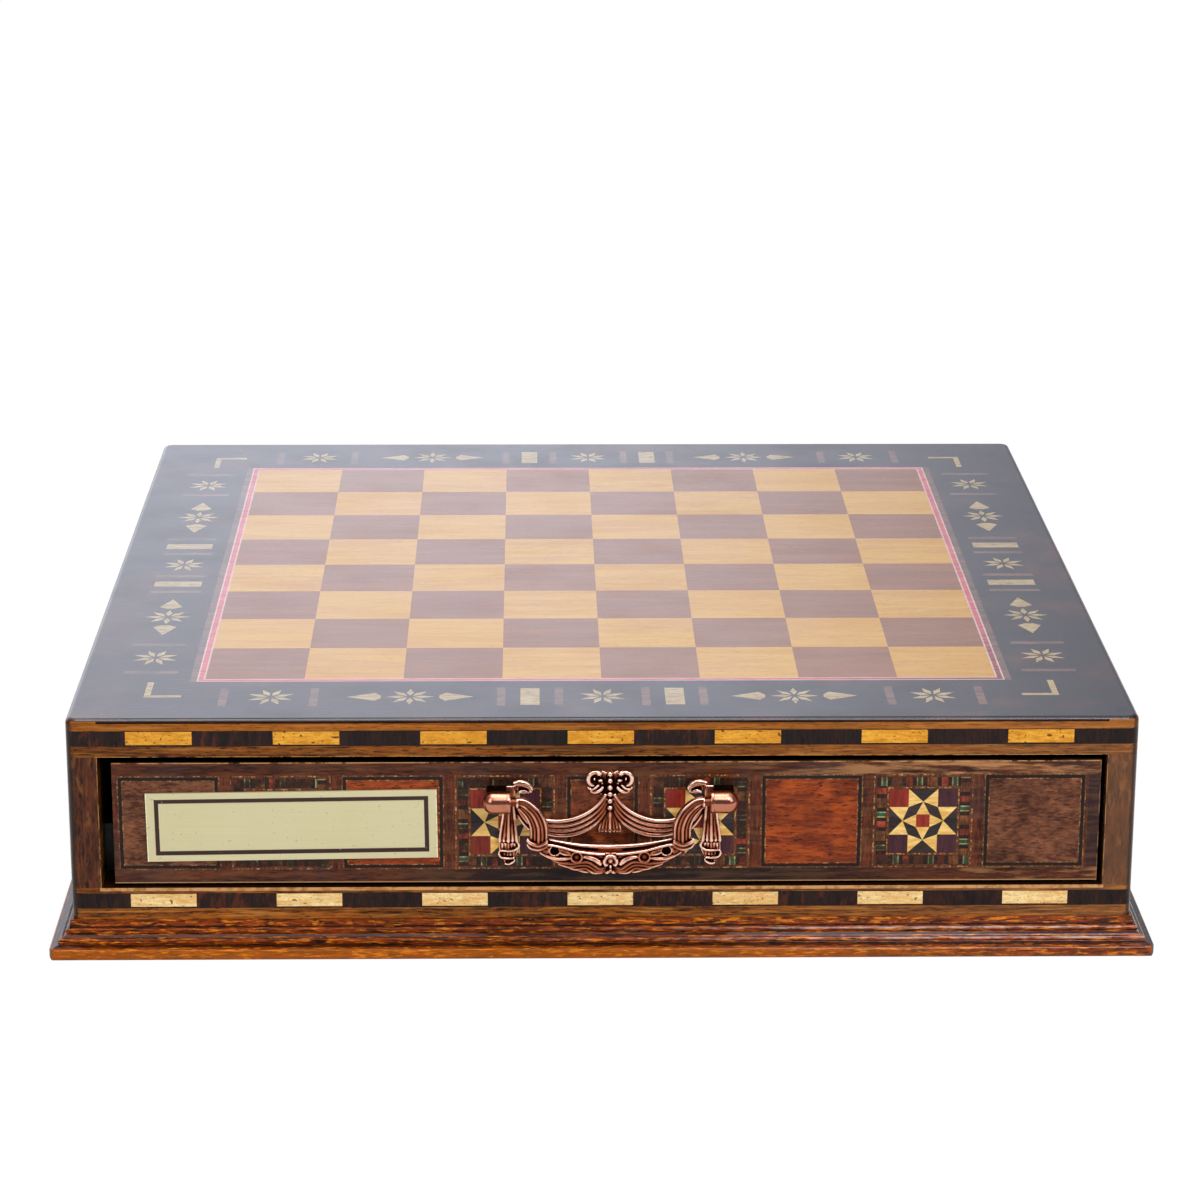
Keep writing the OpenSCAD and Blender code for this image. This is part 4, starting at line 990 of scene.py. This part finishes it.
def carve_crescent(cast):
    """The crescent's rail, leaves, waves, holes and medallions."""
    cast.strand([(23.0, -14.6, 0.9), (19.3, -15.4, 0.75), (12.2, -16.7, 0.85), (6, -17.25, 0.85),
                 (0, -17.4, 0.85)], 10.3)
    cast.strand([(24.2, -15.8, 0.4), (21.2, -15.7, 0.45), (18.2, -16.3, 0.45), (14, -17.5, 0.42),
                 (10, -18.4, 0.42), (5, -19.1, 0.42), (1.9, -19.2, 0.38)], 13.0)
    cast.strand([(22.9, -15.6, 0.45), (22.1, -16.9, 0.3), (22.4, -18.6, 0.35), (23.9, -17.9, 0.4)], 12.9)
    cast.strand([(17.6, -17.4, 0.42), (15.4, -18.3, 0.5), (14.2, -18.9, 0.35)], 13.0)
    cast.strand([(25.3, -17.4, 0.3), (23.4, -17.6, 0.5), (21.9, -18.1, 0.4)], 12.8)
    cast.strand([(18.0, -18.4, 0.45), (16.2, -19.0, 0.62), (14.2, -19.4, 0.4)], 13.0)
    cast.strand([(25.0, -18.5, 0.3), (22.6, -19.8, 0.5), (19.8, -20.8, 0.62), (16.6, -20.9, 0.62),
                 (14.0, -20.6, 0.4)], 13.0)
    for line in (
        [(22.6, -20.4), (18.6, -22.0), (15.6, -22.6), (13.4, -22.8), (10.4, -22.3), (7.9, -22.3),
         (6.0, -23.4), (4.0, -24.7), (1.6, -24.3)],
        [(18.6, -22.9), (14.6, -23.9), (11.4, -23.5), (8.6, -23.4), (6.6, -24.4), (4.6, -25.6),
         (1.8, -25.2)],
        [(15.6, -24.0), (12.4, -24.8), (9.2, -24.5), (7.6, -25.2), (5.8, -26.2), (3.0, -26.3)],
        [(12.2, -25.0), (9.6, -25.6), (7.8, -26.1)],
    ):
        last = len(line) - 1
        cast.strand([(x, z, 0.36 if k in (0, last) else 0.66) for k, (x, z) in enumerate(line)], 12.62)
    cast.strand([(3.3, -23.2, 0.7), (4.2, -22.0, 1.1), (6.0, -20.9, 1.0), (8.2, -20.3, 0.7),
                 (9.6, -20.2, 0.4)], 13.0)
    cast.strand([(2.6, -20.2, 0.3), (5.0, -19.9, 0.4), (8.0, -19.5, 0.3)], 12.9)
    cast.ring(*HOLE, 12.8, 1.85, 0.3)
    cast.ring(*MEDALLION, 12.95, 1.95, 0.36)
    cast.drop(*MEDALLION, 12.7, (1.5, 1.5, 0.25))


def open_flower(cast):
    """The flower at the crescent's middle, with two beads and a leaf under it."""
    cast.strand([(1.3, -23.1, 0.85), (2.0, -22.0, 0.8), (1.9, -20.9, 0.75), (1.2, -19.9, 0.75),
                 (0, -19.5, 0.75)], 13.9)
    cast.drop(0, -20.9, 13.7, (1.3, 1.4, 0.9), both=False)
    cast.drop(0, -23.7, 13.2, (0.55, 0.75, 0.7), both=False)
    cast.drop(0, -25.0, 13.1, (0.45, 0.5, 0.6), both=False)
    cast.strand([(0.2, -25.4, 0.4), (1.0, -26.1, 0.5), (1.7, -26.4, 0.3)], 13.0)


def turned(name, start, steps, sides=48):
    """A turned piece along x: a disc at start, then (move, radius) steps; the last face closes it."""
    bpy.ops.mesh.primitive_circle_add(
        vertices=sides, radius=steps[0][1], fill_type="NGON", location=(0, 0, 0),
        rotation=(0, math.pi / 2, 0),
    )
    holder = bpy.context.object
    bpy.ops.object.transform_apply(location=False, rotation=True)
    bpy.ops.object.mode_set(mode="EDIT")
    bpy.ops.mesh.select_all(action="SELECT")
    x, size = 0.0, steps[0][1]
    for move, radius in steps[1:]:
        bpy.ops.mesh.extrude_region_move(TRANSFORM_OT_translate={"value": (move, 0, 0)})
        x += move
        bpy.ops.transform.resize(
            value=(1, radius / size, radius / size), center_override=(x, 0, 0)
        )
        size = radius
    bpy.ops.mesh.select_all(action="SELECT")
    bpy.ops.mesh.normals_make_consistent(inside=False)
    bpy.ops.object.mode_set(mode="OBJECT")
    holder.data.transform(Matrix.Translation(start))
    holder.name = holder.data.name = name
    return holder


def knuckle():
    """A bullet-shaped knuckle with a ring at its open end, bored for the pin, on a square root."""
    thick, bore, bore_depth, open_end = 4.1, 1.58, 5.4, 35.2
    steps = [(0, bore), (-bore_depth, bore), (0, 1.75), (0, 3.7), (0.15, 4.0), (0.25, thick), (0.75, thick),
             (0.2, 3.95), (0.25, 3.95), (4.3, 4.05)]
    last = 0.0
    for angle in range(10, 90, 10):
        rise = thick * math.sin(math.radians(angle))
        steps.append((rise - last, thick * math.cos(math.radians(angle))))
        last = rise
    bullet = turned("knuckle", (open_end + bore_depth, -PIN_OUT, 0), steps)
    bpy.ops.object.select_all(action="DESELECT")
    bullet.select_set(True)
    bpy.ops.object.shade_smooth_by_angle(angle=math.radians(35))
    bpy.ops.mesh.primitive_cube_add(size=1, location=(40.1, -6.3, 0), scale=(7.4, 10.2, 5.6))
    root = bpy.context.object
    bpy.ops.object.transform_apply(location=True, rotation=True, scale=True)
    edge = root.modifiers.new("edge", "BEVEL")
    edge.width, edge.segments = 0.9, 4
    bpy.ops.object.modifier_apply(modifier="edge")
    bpy.ops.object.shade_smooth_by_angle(angle=math.radians(35))
    # Painted shade: the root's relief is set low, so that the copper paints it nearly black.
    for piece, height in ((bullet, 0.09), (root, -0.2)):
        same = np.full(len(piece.data.vertices), height)
        piece.data.attributes.new(RELIEF_AND_SHADE, "FLOAT", "POINT").data.foreach_set("value", same)
    return [bullet, root]


def settle(piece, body, node):
    """Brings a copper piece from the handle's millimetres to its place on the front drawer."""
    axis = box_middle("front_handle_posts")
    piece.data.transform(Matrix.Translation((axis.x, FACE_Y, axis.z)) @ Matrix.Scale(MM, 4))
    piece.data.materials.clear()
    piece.data.materials.append(copper)
    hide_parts(node)
    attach(piece, body)
    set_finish(piece, "copper")


def at_rear(piece, name, body, node):
    """The rear drawer's piece: the front one, turned half round."""
    other = bpy.data.objects.new(name, piece.data.copy())
    other.data.name = name
    other.data.transform(Matrix.Rotation(math.pi, 4, "Z"))
    bpy.context.scene.collection.objects.link(other)
    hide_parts(node)
    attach(other, body)
    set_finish(other, piece["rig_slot"])


def make_handles():
    """Both handles: the front one is made, and the rear one is its copy."""
    drapery = cast_drapery()
    grip = cast_bail()
    pin = turned("pin", (32.2, -PIN_OUT, 0), [(0, 1.1), (0.1, 1.3), (7.4, 1.5), (0.2, 1.3)], 32)
    grip = joined("front_handle_grip", [grip, pin, mirrored(pin)])
    posts = knuckle()
    posts = joined("front_handle_knuckles", [*posts, *(mirrored(p) for p in posts)])
    for piece, part, body, node in (
        (drapery, "drapery", "drawer", "plate"), (posts, "knuckles", "drawer", "posts"),
        (grip, "grip", "bail", "bail"),
    ):
        settle(piece, "front_" + body, "front_handle_" + node)
        at_rear(piece, "rear_handle_" + part, "rear_" + body, "rear_handle_" + node)


# ------------------------------------------------------------------ the drawers

# Places across the face are from the pattern's middle to the right, and v is from the face's middle up.
STARS = (-0.1143, -0.0347, 0.0347, 0.1143)
# The middle and half the width of each plain panel.
PLAINS = ((-0.1541, 0.0181), (-0.0745, 0.0181), (0.0, 0.0130), (0.0745, 0.0181), (0.1541, 0.0181))
PLAIN_HALF = 0.0177
PLAIN_LINES = 0.0016
STAR_PANEL_HALF = 0.0178
STAR_LINE_HALF = 0.0129
STAR_LINE = 0.0005
MOSAIC_HALF, MOSAIC_WIDTH = 0.01655, 0.0033
RED, PURPLE, BRICK = "#9a3428", "#4e2c34", "#7e3024"


def face_place(r, turn):
    """The place on a drawer's face: u from the pattern's middle to the right, and v up."""
    x, _, z = r.split(r.place(turn))
    return x - PATTERN_X, z - FACE_Z


def face_depths(r, here, u, v):
    """How far inside the nearest plain panel a place lies, and how far from the middle of the nearest
    star. The lines that follow them waver a little, as hand-laid ones do."""
    waver = (r.noise(here, 420, detail=2) - 0.5) * 0.0006
    inside = r.most(*(r.least(half - abs(u - middle), PLAIN_HALF - abs(v)) for middle, half in PLAINS))
    star = r.least(*(r.most(abs(u - middle), abs(v)) for middle in STARS))
    return inside + waver, star + waver


def face_rails(r, here, u, v):
    """The rails and uprights round the panels: purple stains, a darker middle of the foot rail and a darker
    last upright, and gold at the right.
    """
    rail, relief = timber(r, here, "x", "#260f09", "#5e2e18", "#0f0504",
                          figure=(30, 260), fibre=(200, 1300))
    upright, _ = timber(r, here, "z", "#2a0f09", "#68301a", "#0f0504",
                        figure=(30, 260), fibre=(200, 1300))
    colour = r.mix(rail, upright, abs(v) < PLAIN_HALF)
    purple = r.smooth(r.noise(here, 22, detail=3), 0.50, 0.62)
    colour = r.mix(colour, "#302226", purple * 0.45)
    last_upright = r.smooth(u, 0.1728, 0.1736) * (abs(v) < PLAIN_HALF)
    colour = r.mix(colour, "#221a1e", last_upright * 0.7)
    foot_rail = (v < -PLAIN_HALF) * r.smooth(u, -0.09, -0.02) * (1 - r.smooth(u, 0.06, 0.13))
    colour = r.mix(colour, "#140d0e", foot_rail * 0.92)
    golden = r.smooth(r.noise(r.along(here, "x", 40, 330), detail=4, rough=0.65), 0.44, 0.62)
    to_right = r.smooth(u, 0.02, 0.13) * (v > PLAIN_HALF) * 0.75
    low_right = r.smooth(u, 0.10, 0.16) * (v < -PLAIN_HALF) * 0.5
    return r.mix(colour, "#b07c50", golden * (r.most(to_right, low_right) + 0.10)), relief


def face_panels(r, here, u):
    """The plain panels: brown at both ends, orange between them, and dark clouds."""
    brown, _ = timber(r, here, "x", "#3c1a10", "#865338", "#1c0c08",
                      figure=(110, 190), fibre=(330, 950))
    orange, _ = timber(r, here, "x", "#621a06", "#b04c12", "#200a05",
                       figure=(60, 320), fibre=(200, 1000), pores=0.8)
    hue = r.smooth(u, -0.12, -0.08) * (1 - r.smooth(u, 0.11, 0.13))
    hue = hue * (r.smooth(abs(u), 0.03, 0.06) * 0.4 + 0.45)
    panel = r.mix(brown, orange, hue)
    clouds = r.smooth(r.noise(here, 70, detail=4, rough=0.65), 0.40, 0.62)
    shaded = clouds * (0.85 - r.smooth(abs(u), 0.02, 0.04) * 0.5)
    return r.mix(panel, "#2a1009", shaded)


def face_lines(r, here, colour, inside, star):
    """The broken gold and black lines round the panels and the stars, and the mosaics' dark bed."""
    patches = r.broken(here, 0.44, 0.62, 420)
    shade = r.smooth(r.noise(here, 1100, detail=2), 0.40, 0.65)
    gold = r.mix("#5c3818", "#c8995e", shade)
    frame_line = r.band(inside, 0.0, 0.0004)
    inner_line = r.band(inside, 0.00165, 0.0020)
    star_line = r.most(r.band(star, STAR_PANEL_HALF - STAR_LINE, STAR_PANEL_HALF),
                       r.band(star, STAR_LINE_HALF - STAR_LINE, STAR_LINE_HALF))
    lines = r.most(frame_line * 0.7, inner_line * 0.8, star_line)
    ebony = r.band(inside, 0.00045, PLAIN_LINES, 0.00012)
    colour = r.mix(colour, "#14110f", r.most(ebony * 0.92, lines * 0.35))
    colour = r.mix(colour, gold, lines * (patches * 0.75 + 0.12))
    ring = r.band(star, MOSAIC_HALF - MOSAIC_WIDTH, MOSAIC_HALF, 0.0001)
    return r.mix(colour, "#120b09", ring * 0.9)


def face_edges(r, here, turn, colour):
    """The face's edges, rubbed pale, and painted shade on the sides of the drawer's front behind it, which
    are painted nearly black.
    """
    low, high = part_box("front_drawer_veneer")
    x, y, z = r.split(r.place(turn))
    on_face = y < low.y + 0.0001
    rub = r.broken(here, 0.40, 0.56, 180)
    top = r.smooth(z, high.z - 0.00045, high.z - 0.0002) * rub
    foot = 1 - r.smooth(z, low.z + 0.0002, low.z + 0.0005)
    ends = r.smooth(x, high.x - 0.0004, high.x - 0.0001) * rub
    colour = r.mix(colour, "#c89868", r.most(top * 0.8, foot * 0.65, ends * 0.4) * on_face)
    # Painted shade: the sides and back of the drawer's front, which lie in shade, are painted nearly black.
    return r.mix(colour, PAINTED_SHADE, (y > low.y + 0.0009) * 0.9)


def drawer_face(side, turn, shift):
    """The whole veneered face: rails, uprights and panels, with the lines round each panel."""
    r = recipe(side + " drawer face")
    here = r.place(turn, shift)
    u, v = face_place(r, turn)
    inside, star = face_depths(r, here, u, v)
    colour, relief = face_rails(r, here, u, v)
    colour = r.mix(colour, face_panels(r, here, u), inside > PLAIN_LINES)
    colour = face_lines(r, here, colour, inside, star)
    colour = face_edges(r, here, turn, colour)
    return varnish(r, colour, relief, here, gloss=0.2, grain=0.00003, sheen=0.16)


def star_squares(side, turn):
    """The corner and middle squares of the four stars. The upper left ones and the middles are red, the
    second star's lower left one is brick, and the others are purple."""
    r = recipe(side + " star squares")
    here = r.place(turn)
    u, v = face_place(r, turn)
    colour = PURPLE
    core_half, corner_start, corner_end = 0.003, 0.004, 0.0125
    for centre in STARS:
        reach = abs(u - centre)
        middle = (reach < core_half) * (abs(v) < core_half)
        upper = (u - centre < -corner_start) * (reach < corner_end) * (v > corner_start)
        colour = r.mix(colour, RED, r.most(middle, upper))
    corner_middle, corner_half = 0.0085, 0.004
    lower = (abs(u - STARS[1] + corner_middle) < corner_half) * (v < -corner_start)
    colour = r.mix(colour, BRICK, lower)
    grain, relief = timber(r, here, "z", (0.5, 0.5, 0.5, 1), (1, 1, 1, 1), (0.2, 0.2, 0.2, 1), pores=0.4)
    return varnish(r, r.mix(colour, grain, 1.0, "MULTIPLY"), relief, here, gloss=0.2, sheen=0.14)


def tile_wood(name, dark, light):
    """Dyed wood of the mosaic, with dark clouds over most of it that thin out toward the right and the top.
    """
    r = recipe("mosaic " + name)
    here = r.place()
    x, _, z = r.split(here)
    colour, relief = timber(r, here, "z", dark, light, "#0d0705", figure=(260, 420), pores=0.5)
    fresh = r.smooth(x + (z - FACE_Z) * 1.5, 0.055, 0.15)
    stain = r.smooth(r.noise(here, 130, detail=3, rough=0.65), 0.34, 0.56)
    colour = r.mix(colour, "#241712", stain * (0.95 - fresh * 0.45))
    chips = r.broken(here, 0.50, 0.62, 1000)
    colour = r.mix(colour, "#4a2a1a", chips * 0.55)
    return varnish(r, colour, relief, here, gloss=0.22, sheen=0.16)


# The dyed woods of the mosaic.
TILES = {
    "brown": tile_wood("brown", "#58301c", "#90582e"),
    "black": tile_wood("black", "#141112", "#241f20"),
    "red": tile_wood("red", "#74241a", "#b44c30"),
    "cream": tile_wood("cream", "#8a7648", "#d0bc84"),
    "green": tile_wood("green", "#10402a", "#286c48"),
}
# The woods along a mosaic band, each with its length.
MOSAIC_BAND = (
    ("brown", 0.0036), ("black", 0.0015), ("red", 0.0023), ("black", 0.0014), ("cream", 0.00045),
    ("green", 0.0013), ("cream", 0.00045), ("black", 0.0016),
)
# Where in the band each side of a ring starts, as a share of it, and how much later at the next star.
SIDE_STARTS = (0.3, 0.75, 0.55, 0.1)
STAR_DELAY = 0.37


def mosaic_tile():
    """One tile, a metre on each side, with softened edges. It gets its size when it is laid."""
    bpy.ops.object.select_all(action="DESELECT")
    bpy.ops.mesh.primitive_cube_add(size=1, location=(0, 0, 0))
    tile = bpy.context.object
    edge = tile.modifiers.new("edge", "BEVEL")
    edge.width, edge.segments = 0.04, 1
    bpy.ops.object.modifier_apply(modifier="edge")
    return tile


def lay_mosaics():
    """Four rings of tiles round the stars of the front drawer: each side is cut from the same band."""
    tile = mosaic_tile()
    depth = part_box("front_drawer_mosaics")[1].y - FACE_Y - SKIN
    side_length = 2 * MOSAIC_HALF - MOSAIC_WIDTH
    laid = []
    for star, centre in enumerate(STARS):
        for side, start in enumerate(SIDE_STARTS):
            place = -MOSAIC_HALF
            last = place + side_length
            turn = Matrix.Rotation(math.radians(90 * side), 4, "Y")
            middle = Matrix.Translation((PATTERN_X + centre, 0, FACE_Z))
            step = int(len(MOSAIC_BAND) * ((start + STAR_DELAY * star) % 1))
            while place < last - 0.0001:
                wood, length = MOSAIC_BAND[step % len(MOSAIC_BAND)]
                step += 1
                length = min(length, last - place)
                size = Matrix.Diagonal((length, depth, MOSAIC_WIDTH, 1))
                spot = Matrix.Translation(
                    (place + length / 2, FACE_Y + SKIN + depth / 2, MOSAIC_HALF - MOSAIC_WIDTH / 2)
                )
                piece = bpy.data.objects.new("tile", tile.data.copy())
                piece.data.transform(middle @ turn @ spot @ size)
                piece.data.materials.append(TILES[wood])
                bpy.context.scene.collection.objects.link(piece)
                laid.append(piece)
                place += length
    bpy.data.objects.remove(tile)
    tiles = joined("front_mosaic_tiles", laid)
    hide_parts("front_drawer_mosaics")
    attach(tiles, "front_drawer")
    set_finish(tiles, "mosaic")
    at_rear(tiles, "rear_mosaic_tiles", "rear_drawer", "rear_drawer_mosaics")


def lay_lining(name, node, body, material, slot):
    """A sheet of pile cloth in the place of its plain solid: rounded at its edges and slightly uneven."""
    low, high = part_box(node)
    middle, size = (low + high) / 2, high - low
    bpy.ops.object.select_all(action="DESELECT")
    bpy.ops.mesh.primitive_grid_add(x_subdivisions=96, y_subdivisions=64, size=1, location=(0, 0, 0))
    lining = bpy.context.object
    lining.data.transform(
        Matrix.Translation((middle.x, middle.y, high.z - 0.0001)) @ Matrix.Diagonal((size.x, size.y, 1, 1)))
    for vertex in lining.data.vertices:
        wave = noise.noise(vertex.co * 28) * 0.6 + noise.noise(vertex.co * 90) * 0.4
        vertex.co.z += 0.00022 * wave - 0.00022
    wall = lining.modifiers.new("cloth", "SOLIDIFY")
    wall.thickness, wall.offset = size.z - 0.0007, -1
    bpy.ops.object.modifier_apply(modifier="cloth")
    edge = lining.modifiers.new("edge", "BEVEL")
    edge.width, edge.segments, edge.limit_method = 0.0003, 2, "ANGLE"
    bpy.ops.object.modifier_apply(modifier="edge")
    bpy.ops.object.shade_smooth_by_angle(angle=math.radians(40))
    lining.name = lining.data.name = name
    lining.data.materials.append(material)
    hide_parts(node)
    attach(lining, body)
    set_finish(lining, slot)


for side, turn in (("front", 1), ("rear", -1)):
    part = side + "_drawer_"
    shift = (0.0, 0.0, 0.0) if turn > 0 else (0.43, 0.0, 0.17)
    face = drawer_face(side, turn, shift)
    for piece in ("veneer", "panels", "black_lines", "light_lines", "front"):
        dress(part + piece, face)
    dress(part + "star_light", inlay(
        part + "star maple", "#cf9c48", "#f0ce84", "#8a5a20", figure=(80, 400), pores=0.3, sheen=0.14))
    dress(part + "star_dark", inlay(part + "star ebony", "#262020", "#3c3230", "#0a0808", sheen=0.14))
    dress(part + "star_squares", star_squares(side, turn))
    for piece in ("sides", "back", "bottom"):
        dress(part + piece, drawer_wood)
    lay_lining(side + "_velvet_lining", part + "velvet", side + "_drawer", green_velvet, "velvet")
    dress(side + "_handle_screws", steel)

lay_mosaics()
lay_lining("baize_underlay", "base_baize", "case", green_baize, "baize")
make_handles()
